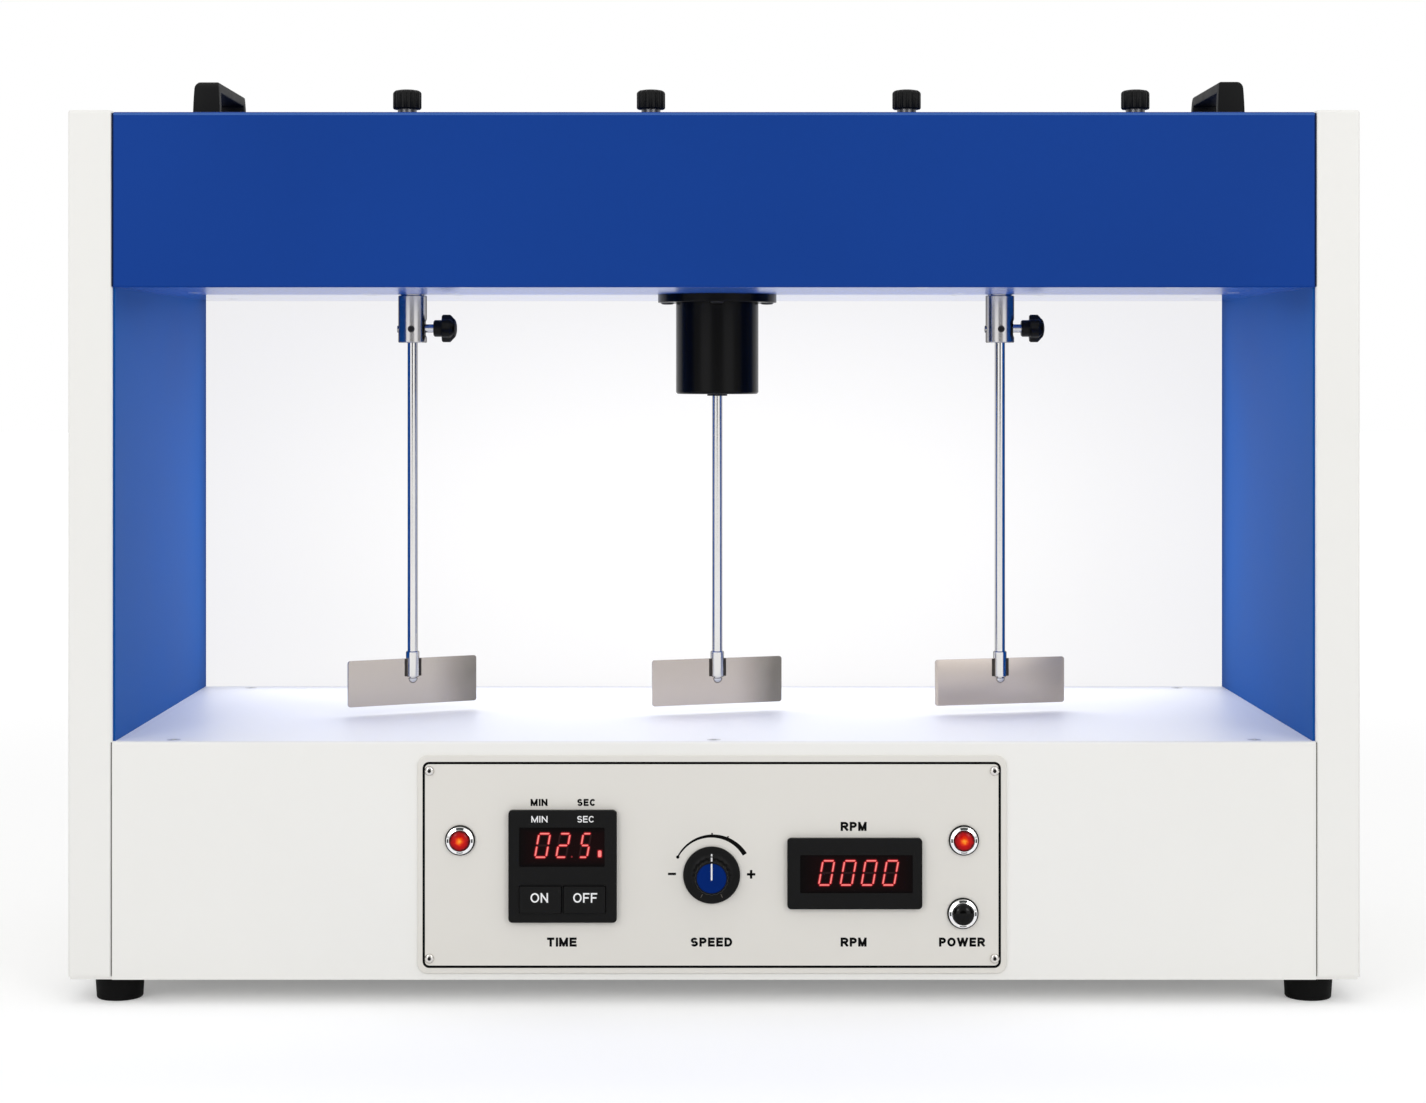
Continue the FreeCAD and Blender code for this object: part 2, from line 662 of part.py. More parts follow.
def pan_head_screws():
    foot_seat_z = floor_z - PAN_LENGTH
    screws = [pan_screw(point(x, depth, foot_seat_z), Z_AXIS) for x, depth in foot_places()]
    screws += [pan_screw(point(x, depth, motor_flange_z), Z_AXIS) for x, depth in motor_screw_places()]
    screws += [pan_screw(point(x, depth, lid_seat_z), Z_AXIS) for x, depth in handle_screw_places()]
    cover_back = BODY_DEPTH + SHEET
    screws += [pan_screw(point(x, cover_back, z), Y_AXIS * -1) for x, z in cover_screw_places()]
    for side in (-1, 1):
        for z in side_screw_levels():
            for depth in side_screw_depths:
                screws.append(pan_screw(point(side * (inner_half - SHEET), depth, z), X_AXIS * side))
    return Part.makeCompound(screws)


def panel_screw_places():
    """(x, z) of the control panel's corner screws."""
    x_places = (PANEL_X - panel_screw_x, PANEL_X + panel_screw_x)
    z_places = (panel_z - panel_screw_z, panel_z + panel_screw_z)
    return [(x, z) for x in x_places for z in z_places]


def panel_screws():
    seats = [point(x, panel_front, z) for x, z in panel_screw_places()]
    return Part.makeCompound([button_screw(seat, Y_AXIS) for seat in seats])


# ---------------------------------------------------------------- housing pieces
def right_cheek_shell():
    """Tall folded box of sheet that carries base and head on its inner wall."""
    rear = BODY_DEPTH
    shell = block((inner_half, half_width), (0, rear), (floor_z, cheek_top_z))
    shell = round_edges(
        shell,
        EDGE_RADIUS,
        lambda edge: (
            (runs_along(edge, Z_AXIS) and lies_at(edge, Y_AXIS, [front_y]))
            or (runs_along(edge, Z_AXIS) and lies_at(edge, X_AXIS, [half_width]))
            or (runs_along(edge, Y_AXIS) and lies_at(edge, Z_AXIS, [cheek_top_z]))
            or (runs_along(edge, X_AXIS) and lies_at(edge, Z_AXIS, [cheek_top_z]))
        ),
    )
    hollow = block(
        (inner_half + SHEET, half_width - SHEET),
        (SHEET, rear - SHEET),
        (floor_z + SHEET, cheek_top_z - SHEET),
    )
    holes = []
    for z in side_screw_levels():
        wire_start = point(inner_half - SHEET, WIRE_HOLE_DEPTH, z)
        holes.append(rod(WIRE_HOLE_RADIUS, wire_start, wire_start + X_AXIS * 3 * SHEET))
        for depth in side_screw_depths:
            start = point(inner_half, depth, z)
            holes.append(tapped_hole(PAN_SHANK_RADIUS, start, X_AXIS, PAN_LENGTH))
    for x, z in cover_screw_places():
        if x > 0:
            start = point(x, BODY_DEPTH, z)
            holes.append(tapped_hole(PAN_SHANK_RADIUS, start, Y_AXIS * -1, PAN_LENGTH))
    return shell.cut(hollow).cut(holes)


def right_inner_panel():
    """Thin lining of one side of the bay, with an ear behind the opal panel."""
    z_span = (deck_seat_z, head_bottom_z)
    lining = block((lining_half, inner_half), (DECK_SETBACK, BODY_DEPTH), z_span)
    ear = block((lining_half - LINING_EAR, inner_half), (opal_back, opal_back + LINING_THICKNESS), z_span)
    return join([lining, ear])


def base_shell():
    """Folded tray: front wall, end walls, a flange all round that carries the deck, and the bottom plate."""
    shell = block((-inner_half, inner_half), (0, BODY_DEPTH), (bottom_z, deck_top_z))
    shell = round_edges(
        shell,
        EDGE_RADIUS,
        lambda edge: runs_along(edge, X_AXIS)
        and lies_at(edge, Y_AXIS, [front_y])
        and lies_at(edge, Z_AXIS, [deck_top_z]),
    )
    deck_recess = block(
        (-inner_half, inner_half), (DECK_SETBACK, BODY_DEPTH), (deck_seat_z, deck_top_z + SHEET)
    )
    hollow = block(
        (SHEET - inner_half, inner_half - SHEET), (SHEET, BODY_DEPTH), (floor_z, deck_seat_z - SHEET)
    )
    hatch = block(
        (FLANGE_WIDTH - inner_half, inner_half - FLANGE_WIDTH),
        (FLANGE_WIDTH, light_depth - FLANGE_WIDTH),
        (deck_seat_z - 2 * SHEET, deck_seat_z + SHEET),
    )
    ledge = half_width - SHADOW_GAP
    plate = block((-ledge, ledge), (SHADOW_GAP, BODY_DEPTH - SHADOW_GAP), (bottom_z, floor_z))
    shell = join([shell.cut(deck_recess).cut(hollow).cut(hatch), plate])
    back_opening = round_tile(
        (PANEL_X, panel_z),
        (PANEL_WIDTH - 2 * PANEL_BACK_MARGIN, panel_height - PANEL_BACK_MARGIN),
        PANEL_CORNER,
        (-SHEET, 2 * SHEET),
    )
    holes = [back_opening]
    for x, z in panel_screw_places():
        holes.append(tapped_hole(BUTTON_SHANK_RADIUS, point(x, -SHEET, z), Y_AXIS, BUTTON_LENGTH))
    for x, depth in deck_screw_places():
        start = point(x, depth, deck_seat_z)
        holes.append(tapped_hole(SUNK_SHANK_RADIUS, start, Z_AXIS * -1, SUNK_LENGTH))
    for x, depth in foot_places():
        start = point(x, depth, bottom_z)
        holes.append(tapped_hole(PAN_SHANK_RADIUS, start, Z_AXIS, SHEET))
    holes += end_wall_holes(side_screw_levels()[0])
    return shell.cut(holes)


def end_wall_holes(z):
    """Wiring holes and screw holes in both end walls of the base or head."""
    holes = []
    for side in (-1, 1):
        outward = X_AXIS * side
        wire_start = point(side * (inner_half - 2 * SHEET), WIRE_HOLE_DEPTH, z)
        holes.append(rod(WIRE_HOLE_RADIUS, wire_start, wire_start + outward * 2 * SHEET))
        for depth in side_screw_depths:
            seat = point(side * (inner_half - SHEET), depth, z)
            holes.append(through_hole(PAN_SHANK_RADIUS, seat, outward, SHEET))
    return holes


def deck_plate():
    """Glossy plate that the jars stand on."""
    half = lining_half - SLIDING_GAP
    plate = block((-half, half), (DECK_SETBACK + SLIDING_GAP, light_depth), (deck_seat_z, deck_top_z))
    seats = [point(x, depth, deck_top_z) for x, depth in deck_screw_places()]
    return plate.cut([sunk_hole(seat, Z_AXIS * -1, SUNK_LENGTH) for seat in seats])


def rear_diffuser():
    """Opal panel that closes the back of the bay."""
    half = inner_half - SHEET - SLIDING_GAP
    return block((-half, half), (light_depth, opal_back), (deck_seat_z, plate_top_z + OPAL_TOP_HIDDEN))


def rear_cover():
    """One sheet over the back of base, light box and head, with vent slots and the inlet's cut-out."""
    reach = inner_half + COVER_OVERLAP
    cover = block(
        (-reach, reach), (BODY_DEPTH, BODY_DEPTH + SHEET), (floor_z, head_top_z - COVER_TOP_MARGIN)
    )
    cover = round_edges(cover, PANEL_CORNER, lambda edge: runs_along(edge, Y_AXIS))
    depth_span = (BODY_DEPTH - SHEET, BODY_DEPTH + 2 * SHEET)
    holes = []
    for z in side_screw_levels():
        for index in range(VENT_COUNT):
            x = (index - (VENT_COUNT - 1) / 2) * VENT_PITCH
            holes.append(round_tile((x, z), (VENT_WIDTH, VENT_LENGTH), vent_corner, depth_span))
    inlet_size = (INLET_BODY_WIDTH + 2 * MODULE_GAP, INLET_BODY_HEIGHT + 2 * MODULE_GAP)
    holes.append(round_tile((INLET_X, inlet_z), inlet_size, INLET_BODY_CORNER, depth_span))
    for x, z in cover_screw_places():
        seat = point(x, BODY_DEPTH + SHEET, z)
        holes.append(through_hole(PAN_SHANK_RADIUS, seat, Y_AXIS * -1, SHEET))
    return cover.cut(holes)


def rear_led_strips():
    """Light strips on the inner face of the rear cover."""
    low = deck_top_z + STRIP_MARGIN
    step = (BAY_HEIGHT - 2 * STRIP_MARGIN) / (STRIP_COUNT - 1)
    led_pitch = strip_length / LEDS_PER_STRIP
    strips = []
    for row in range(STRIP_COUNT):
        z = low + row * step
        board_front = BODY_DEPTH - STRIP_BOARD
        board = block(
            (-strip_length / 2, strip_length / 2),
            (board_front, BODY_DEPTH),
            (z - STRIP_HEIGHT / 2, z + STRIP_HEIGHT / 2),
        )
        leds = []
        for index in range(LEDS_PER_STRIP):
            x = (index - (LEDS_PER_STRIP - 1) / 2) * led_pitch
            leds.append(
                block(
                    (x - LED_SIZE / 2, x + LED_SIZE / 2),
                    (board_front - LED_THICKNESS, board_front),
                    (z - LED_SIZE / 2, z + LED_SIZE / 2),
                )
            )
        strips.append(join([board] + leds))
    return Part.makeCompound(strips)


def head_shell():
    """Blue head: front and end walls, top strips under the handles, the lid's seat and bottom flanges."""
    shell = block((-inner_half, inner_half), (0, BODY_DEPTH), (head_bottom_z, head_top_z))
    shell = round_edges(
        shell,
        EDGE_RADIUS,
        lambda edge: (
            (runs_along(edge, X_AXIS) and lies_at(edge, Y_AXIS, [front_y]))
            or (runs_along(edge, Z_AXIS) and lies_at(edge, Y_AXIS, [front_y]))
            or (runs_along(edge, Y_AXIS) and lies_at(edge, Z_AXIS, [head_top_z]))
        ),
    )
    inside = inner_half - SHEET
    flange_z = plate_top_z + SHEET
    seat_bottom_z = lid_seat_z - SHEET
    cuts = [
        block((-inside, inside), (SHEET, BODY_DEPTH), (head_bottom_z, plate_top_z)),
        block((-inside, inside), (SHEET, BODY_DEPTH), (flange_z, seat_bottom_z)),
        block((-lid_half, lid_half), (LID_SETBACK, BODY_DEPTH), (lid_seat_z, head_top_z + SHEET)),
        block(
            (FLANGE_WIDTH - lid_half, lid_half - FLANGE_WIDTH),
            (LID_FRONT_SEAT, BODY_DEPTH - FLANGE_WIDTH),
            (seat_bottom_z - SHEET, lid_seat_z + SHEET),
        ),
        block(
            (2 * FLANGE_WIDTH - inner_half, inner_half - 2 * FLANGE_WIDTH),
            (FLANGE_WIDTH, BODY_DEPTH),
            (plate_top_z - SHEET, flange_z + SHEET),
        ),
        block((-inside, inside), (light_depth - 2 * SHEET, BODY_DEPTH), (plate_top_z, flange_z)),
    ]
    for side in (-1, 1):
        x_span = sorted((side * (lid_half + SHEET), side * inside))
        cuts.append(block(x_span, (SHEET, BODY_DEPTH), (seat_bottom_z, lid_seat_z)))
    shell = shell.cut(cuts)
    holes = end_wall_holes(side_screw_levels()[1])
    for x, depth in plate_screw_places():
        holes.append(tapped_hole(SUNK_SHANK_RADIUS, point(x, depth, plate_top_z), Z_AXIS, SUNK_LENGTH))
    for x, depth in handle_screw_places():
        holes.append(through_hole(PAN_SHANK_RADIUS, point(x, depth, lid_seat_z), Z_AXIS, 2 * SHEET))
    for x in LID_KNOB_X:
        span = (seat_bottom_z - SHEET, lid_seat_z + SHEET)
        holes.append(upright(LID_CLIP_RADIUS + PART_GAP, x, LID_KNOB_DEPTH, span))
    return shell.cut(holes)


def head_base_plate():
    """Underside of the head, which carries motor and spindles; its rear edge is folded up."""
    half = inner_half - SHEET
    plate = block((-half, half), (SHEET, light_depth), (head_bottom_z, plate_top_z))
    fold_z = (plate_top_z, plate_top_z + OPAL_TOP_HIDDEN)
    fold = block((-half, half), (light_depth - SHEET, light_depth), fold_z)
    z_span = (head_bottom_z - SHEET, plate_top_z + SHEET)
    holes = [upright(BEARING_RADIUS, CENTRE_SPINDLE_X, SPINDLE_DEPTH, z_span)]
    for x in (LEFT_SPINDLE_X, RIGHT_SPINDLE_X):
        holes.append(upright(SHOULDER_RADIUS + CHUCK_GAP, x, SPINDLE_DEPTH, z_span))
    for x, depth in plate_screw_places() + housing_screw_places():
        holes.append(sunk_hole(point(x, depth, head_bottom_z), Z_AXIS, SUNK_LENGTH))
    for x, depth in motor_screw_places():
        holes.append(tapped_hole(PAN_SHANK_RADIUS, point(x, depth, head_bottom_z), Z_AXIS, PAN_LENGTH))
    return join([plate, fold]).cut(holes)


def handle_outline(x, width, length, z):
    """Level rectangle round a handle's middle."""
    corners = [(-1, -1), (1, -1), (1, 1), (-1, 1)]
    points = [point(x + sx * width / 2, HANDLE_DEPTH + sy * length / 2, z) for sx, sy in corners]
    return Part.makePolygon(points + [points[0]])


def handle(x):
    """Black bridge handle that runs from front to back, narrower at the top."""
    top_z = head_top_z + HANDLE_HEIGHT
    top_length = HANDLE_LENGTH - HANDLE_WIDTH + HANDLE_TOP_WIDTH
    foot = handle_outline(x, HANDLE_WIDTH, HANDLE_LENGTH, head_top_z)
    top = handle_outline(x, HANDLE_TOP_WIDTH, top_length, top_z)
    body = Part.makeLoft([foot, top], True)
    body = round_edges(body, HANDLE_RADIUS, lambda edge: edge.BoundBox.ZMax > head_top_z + SHEET)
    reach = HANDLE_LENGTH / 2 - HANDLE_LEG
    opening = block(
        (x - HANDLE_WIDTH, x + HANDLE_WIDTH),
        (HANDLE_DEPTH - reach, HANDLE_DEPTH + reach),
        (head_top_z - HANDLE_BAR, top_z - HANDLE_BAR),
    )
    opening = round_edges(
        opening,
        HANDLE_INNER_RADIUS,
        lambda edge: runs_along(edge, X_AXIS) and lies_at(edge, Z_AXIS, [top_z - HANDLE_BAR]),
    )
    holes = [opening]
    for screw_x, depth in handle_screw_places():
        if screw_x == x:
            start = point(x, depth, head_top_z - SHEET)
            holes.append(tapped_hole(PAN_SHANK_RADIUS, start, Z_AXIS, PAN_LENGTH + SHEET))
    return body.cut(holes)


def rubber_feet():
    """Four tapered feet, each with a recess for its screw."""
    feet = []
    seat_z = floor_z - PAN_LENGTH
    for x, depth in foot_places():
        bottom = point(x, depth, 0)
        body = cone_bar(foot_bottom_radius, FOOT_RADIUS, bottom, point(x, depth, bottom_z))
        body = round_edges(body, FOOT_EDGE, lambda edge: edge.BoundBox.ZMax < SHEET)
        recess = upright(PAN_HEAD_RADIUS + FOOT_RECESS_GAP, x, depth, (-SHEET, seat_z))
        hole = through_hole(PAN_SHANK_RADIUS, point(x, depth, seat_z), Z_AXIS, PAN_LENGTH)
        feet.append(body.cut(recess).cut(hole))
    return Part.makeCompound(feet)


# ---------------------------------------------------------------- lid
def head_lid():
    """Flat lid that drops into the head's top."""
    half = lid_half - LID_GAP
    lid = block((-half, half), (LID_SETBACK + LID_GAP, BODY_DEPTH - LID_GAP), (lid_seat_z, head_top_z))
    z_span = (lid_seat_z - SHEET, head_top_z + SHEET)
    return lid.cut([upright(LID_STUD_RADIUS + RUNNING_GAP, x, LID_KNOB_DEPTH, z_span) for x in LID_KNOB_X])


def lid_knob(x):
    """Fluted cap on a turned stud; a clip under the lid keeps it captive."""
    cap_bottom = LID_KNOB_NECK_HEIGHT
    cap_top = cap_bottom + LID_KNOB_HEIGHT
    clip_top = -SHEET - RUNNING_GAP
    profile = [
        (0, -SHEET - LID_STUD_LENGTH),
        (LID_STUD_RADIUS, -SHEET - LID_STUD_LENGTH),
        (LID_STUD_RADIUS, clip_top - LID_CLIP_THICKNESS),
        (LID_CLIP_RADIUS, clip_top - LID_CLIP_THICKNESS),
        (LID_CLIP_RADIUS, clip_top),
        (LID_STUD_RADIUS, clip_top),
        (LID_STUD_RADIUS, RUNNING_GAP),
        (LID_KNOB_NECK_RADIUS, RUNNING_GAP),
        (LID_KNOB_NECK_RADIUS, cap_bottom),
        (LID_KNOB_RADIUS - LID_KNOB_CHAMFER, cap_bottom),
        (LID_KNOB_RADIUS, cap_bottom + LID_KNOB_CHAMFER),
        (LID_KNOB_RADIUS, cap_top - LID_KNOB_CROWN - LID_KNOB_CHAMFER),
        (LID_KNOB_RADIUS - LID_KNOB_CHAMFER / 2, cap_top - LID_KNOB_CROWN),
        (LID_KNOB_RADIUS / 2, cap_top),
        (0, cap_top),
    ]
    knob = turned(profile, point(x, LID_KNOB_DEPTH, head_top_z), Z_AXIS, X_AXIS)
    flute_radius = math.pi * LID_KNOB_RADIUS / LID_KNOB_FLUTES / 2
    flute_reach = LID_KNOB_RADIUS + flute_radius * FLUTE_SHIFT
    z_span = (head_top_z + cap_bottom - SHEET, head_top_z + cap_top - LID_KNOB_CROWN)
    flutes = []
    for index in range(LID_KNOB_FLUTES):
        angle = 2 * math.pi * index / LID_KNOB_FLUTES
        flute_x = x + flute_reach * math.cos(angle)
        flute_depth = LID_KNOB_DEPTH + flute_reach * math.sin(angle)
        flutes.append(upright(flute_radius, flute_x, flute_depth, z_span))
    return knob.cut(flutes)


# ---------------------------------------------------------------- motor, bearings and belt drive
def motor_can():
    """Black motor housing with its mounting flange, hung under the head."""
    x = CENTRE_SPINDLE_X
    can = upright(MOTOR_CAN_RADIUS, x, SPINDLE_DEPTH, (motor_bottom_z, motor_flange_z + SHEET))
    can = round_edges(can, MOTOR_EDGE, lambda edge: edge.BoundBox.ZMax < motor_bottom_z + 1e-3)
    flange = upright(motor_flange_radius, x, SPINDLE_DEPTH, (motor_flange_z, head_bottom_z))
    flange = round_edges(flange, FINE_EDGE, lambda edge: edge.BoundBox.ZMax < motor_flange_z + 1e-3)
    boss_z = (motor_bottom_z - MOTOR_BOSS_HEIGHT, motor_bottom_z + SHEET)
    boss = upright(MOTOR_BOSS_RADIUS, x, SPINDLE_DEPTH, boss_z)
    body = join([can, flange, boss])
    cavity_z = (lower_motor_bearing_z + BEARING_WIDTH, upper_motor_bearing_z - MOTOR_WALL)
    holes = [
        upright(MOTOR_CAN_RADIUS - MOTOR_WALL, x, SPINDLE_DEPTH, cavity_z),
        upright(BEARING_RADIUS, x, SPINDLE_DEPTH, (lower_motor_bearing_z, cavity_z[0])),
        upright(BEARING_RADIUS, x, SPINDLE_DEPTH, (upper_motor_bearing_z, head_bottom_z)),
        upright(BEARING_RADIUS - MOTOR_WALL, x, SPINDLE_DEPTH, (cavity_z[1], upper_motor_bearing_z)),
        upright(ROD_RADIUS + MOTOR_EXIT_GAP, x, SPINDLE_DEPTH, (boss_z[0], lower_motor_bearing_z)),
    ]
    for screw_x, depth in motor_screw_places():
        seat = point(screw_x, depth, motor_flange_z)
        holes.append(through_hole(PAN_SHANK_RADIUS, seat, Z_AXIS, MOTOR_FLANGE_HEIGHT))
    return body.cut(holes)


def motor_stator():
    """Slotted iron ring inside the can."""
    x = CENTRE_SPINDLE_X
    z_span = (stator_mid_z - STATOR_LENGTH / 2, stator_mid_z + STATOR_LENGTH / 2)
    inner = ROTOR_RADIUS + AIR_GAP
    ring = upright(MOTOR_CAN_RADIUS - MOTOR_WALL, x, SPINDLE_DEPTH, z_span)
    ring = ring.cut(upright(inner, x, SPINDLE_DEPTH, z_span))
    slots = []
    for index in range(STATOR_SLOTS):
        slot = block(
            (x, x + MOTOR_CAN_RADIUS - MOTOR_WALL - STATOR_BACK),
            (SPINDLE_DEPTH - STATOR_SLOT_WIDTH / 2, SPINDLE_DEPTH + STATOR_SLOT_WIDTH / 2),
            z_span,
        )
        slot.rotate(point(x, SPINDLE_DEPTH, 0), Z_AXIS, 360 * index / STATOR_SLOTS)
        slots.append(slot)
    return ring.cut(slots)


def motor_rotor():
    """Through shaft with the rotor's iron body and a socket for the centre rod."""
    x = CENTRE_SPINDLE_X
    shaft_bottom = lower_motor_bearing_z + RUNNING_GAP
    shaft_top = upper_belt_z + pulley_half + SHAFT_ABOVE_PULLEY
    shaft = upright(shaft_radius, x, SPINDLE_DEPTH, (shaft_bottom, shaft_top))
    z_span = (stator_mid_z - ROTOR_LENGTH / 2, stator_mid_z + ROTOR_LENGTH / 2)
    body = upright(ROTOR_RADIUS, x, SPINDLE_DEPTH, z_span)
    socket = upright(ROD_RADIUS, x, SPINDLE_DEPTH, (shaft_bottom, shaft_bottom + ROD_SOCKET_DEPTH))
    return join([shaft, body]).cut(socket)


def ball_bearing(x, z):
    """Ring with a shallow groove in each face, as a shielded bearing has."""
    ring = upright(BEARING_RADIUS, x, SPINDLE_DEPTH, (z, z + BEARING_WIDTH))
    ring = ring.cut(upright(BEARING_BORE, x, SPINDLE_DEPTH, (z, z + BEARING_WIDTH)))
    groove_outer = BEARING_RADIUS - MOTOR_WALL
    groove_inner = BEARING_BORE + MOTOR_WALL
    groove_depth = BEARING_WIDTH / 12
    for z_span in ((z, z + groove_depth), (z + BEARING_WIDTH - groove_depth, z + BEARING_WIDTH)):
        groove = upright(groove_outer, x, SPINDLE_DEPTH, z_span)
        ring = ring.cut(groove.cut(upright(groove_inner, x, SPINDLE_DEPTH, z_span)))
    return ring


def ball_bearings():
    motor = [(CENTRE_SPINDLE_X, z) for z in (lower_motor_bearing_z, upper_motor_bearing_z)]
    sides = [(x, z) for x in (LEFT_SPINDLE_X, RIGHT_SPINDLE_X) for z in (lower_bearing_z, upper_bearing_z)]
    return Part.makeCompound([ball_bearing(x, z) for x, z in motor + sides])


def bearing_housing(x):
    """Flanged housing of one side spindle, on top of the head's bottom plate."""
    flange = block(
        (x - HOUSING_FLANGE_X / 2, x + HOUSING_FLANGE_X / 2),
        (SPINDLE_DEPTH - HOUSING_FLANGE_Y / 2, SPINDLE_DEPTH + HOUSING_FLANGE_Y / 2),
        (plate_top_z, plate_top_z + HOUSING_FLANGE_HEIGHT),
    )
    flange = round_edges(flange, PANEL_CORNER, lambda edge: runs_along(edge, Z_AXIS))
    barrel = upright(HOUSING_RADIUS, x, SPINDLE_DEPTH, (plate_top_z, housing_top_z))
    holes = [
        upright(BEARING_RADIUS, x, SPINDLE_DEPTH, (plate_top_z, lower_bearing_z + BEARING_WIDTH)),
        upright(BEARING_RADIUS - MOTOR_WALL, x, SPINDLE_DEPTH, (plate_top_z, housing_top_z)),
        upright(BEARING_RADIUS, x, SPINDLE_DEPTH, (upper_bearing_z, housing_top_z)),
    ]
    for screw_x, depth in housing_screw_places():
        if abs(screw_x - x) < HOUSING_FLANGE_X / 2:
            start = point(screw_x, depth, plate_top_z)
            holes.append(tapped_hole(SUNK_SHANK_RADIUS, start, Z_AXIS, SUNK_LENGTH))
    return join([flange, barrel]).cut(holes)


def bearing_housings():
    return Part.makeCompound([bearing_housing(x) for x in (LEFT_SPINDLE_X, RIGHT_SPINDLE_X)])


def pulley(x, hub_bottom_z, belt_levels):
    """Flanged pulley with one belt track per level."""
    low = belt_levels[0] - pulley_half
    high = belt_levels[-1] + pulley_half
    body = upright(pulley_flange_radius, x, SPINDLE_DEPTH, (low, high))
    hub = upright(PULLEY_HUB_RADIUS, x, SPINDLE_DEPTH, (hub_bottom_z, high))
    for z in belt_levels:
        span = (z - TRACK_WIDTH / 2, z + TRACK_WIDTH / 2)
        ring = upright(pulley_flange_radius + SHEET, x, SPINDLE_DEPTH, span)
        body = body.cut(ring.cut(upright(TRACK_RADIUS, x, SPINDLE_DEPTH, span)))
    bore = upright(shaft_radius, x, SPINDLE_DEPTH, (hub_bottom_z, high))
    return join([body, hub]).cut(bore)


def drive_belts():
    """Two flat belts from the motor's double pulley to the side pulleys."""
    belts = []
    for side_x, z in ((LEFT_SPINDLE_X, lower_belt_z), (RIGHT_SPINDLE_X, upper_belt_z)):
        span = (z - BELT_WIDTH / 2, z + BELT_WIDTH / 2)
        inner_radius = TRACK_RADIUS + PART_GAP
        ends = (CENTRE_SPINDLE_X, side_x)
        outer = loop_of(inner_radius + BELT_THICKNESS, ends, span)
        belts.append(outer.cut(loop_of(inner_radius, ends, span)))
    return Part.makeCompound(belts)


# ---------------------------------------------------------------- spindles, rods and paddles
def spindle(x, belt_z):
    """Hollow spindle with its chuck below the head, and two grub screws in the chuck."""
    top_z = belt_z + pulley_half + SHAFT_ABOVE_PULLEY
    chuck = upright(CHUCK_RADIUS, x, SPINDLE_DEPTH, (chuck_bottom_z, chuck_top_z))
    rims = [edge for edge in chuck.Edges if isinstance(edge.Curve, Part.Circle)]
    chuck = chuck.makeChamfer(CHUCK_CHAMFER, rims)
    shoulder = upright(SHOULDER_RADIUS, x, SPINDLE_DEPTH, (chuck_top_z, lower_bearing_z - SLIDING_GAP))
    shaft = upright(shaft_radius, x, SPINDLE_DEPTH, (chuck_top_z, top_z))
    body = join([chuck, shoulder, shaft])
    bore = upright(ROD_RADIUS + RUNNING_GAP, x, SPINDLE_DEPTH, (chuck_bottom_z, top_z))
    centre = point(x, SPINDLE_DEPTH, grub_z)
    clamp_centre = point(x, SPINDLE_DEPTH, clamp_z)
    screws = []
    for direction, proud in ((Y_AXIS * -1, 0), (X_AXIS * -1, GRUB_PROUD)):
        inner = centre + direction * (ROD_RADIUS + PART_GAP)
        outer = centre + direction * (CHUCK_RADIUS - SLIDING_GAP + proud)
        screw = rod(GRUB_RADIUS, inner, outer)
        socket = hexagon(SOCKET_RADIUS, outer - direction * GRUB_RADIUS, outer + direction)
        screws.append(screw.cut(socket))
        body = body.cut(rod(GRUB_RADIUS + THREAD_GAP, centre, centre + direction * CHUCK_RADIUS * 2))
    clamp_end = clamp_centre + X_AXIS * CHUCK_RADIUS * 2
    clamp_hole = rod(CLAMP_SCREW_RADIUS + RUNNING_GAP, clamp_centre, clamp_end)
    spot_face = rod(SPOT_FACE_RADIUS, clamp_centre + X_AXIS * spot_face_reach, clamp_end)
    return Part.makeCompound([body.cut(bore).cut(clamp_hole).cut(spot_face)] + screws)


def agitator_rod(x, yaw, top_z):
    """Straight rod with a slotted, round-ended sleeve that grips the blade."""
    sleeve_top = sleeve_bottom_z + SLEEVE_LENGTH
    bar = upright(ROD_RADIUS, x, SPINDLE_DEPTH, (sleeve_bottom_z + SLEEVE_RADIUS, top_z))
    sleeve = upright(SLEEVE_RADIUS, x, SPINDLE_DEPTH, (sleeve_bottom_z + SLEEVE_RADIUS, sleeve_top))
    sleeve = round_edges(sleeve, CHUCK_CHAMFER, lambda edge: edge.BoundBox.ZMin > sleeve_top - 1e-3)
    end = Part.makeSphere(SLEEVE_RADIUS, point(x, SPINDLE_DEPTH, sleeve_bottom_z + SLEEVE_RADIUS))
    return join([bar, sleeve, end]).cut(blade_slab(x, yaw, SLEEVE_RADIUS * 3, sleeve_bottom_z - SHEET))


def blade_slab(x, yaw, length, bottom_z):
    """Thin upright slab through a spindle's axis, turned to the blade's angle."""
    slab = block(
        (x - length / 2, x + length / 2),
        (SPINDLE_DEPTH - BLADE_THICKNESS / 2, SPINDLE_DEPTH + BLADE_THICKNESS / 2),
        (bottom_z, blade_top_z),
    )
    slab.rotate(point(x, SPINDLE_DEPTH, 0), Z_AXIS, yaw)
    return slab


def paddle(x, yaw):
    """Flat stirring blade with rounded corners."""
    blade = blade_slab(x, 0, BLADE_LENGTH, blade_bottom_z)
    blade = round_edges(blade, BLADE_CORNER, lambda edge: runs_along(edge, Y_AXIS))
    blade.rotate(point(x, SPINDLE_DEPTH, 0), Z_AXIS, yaw)
    return blade


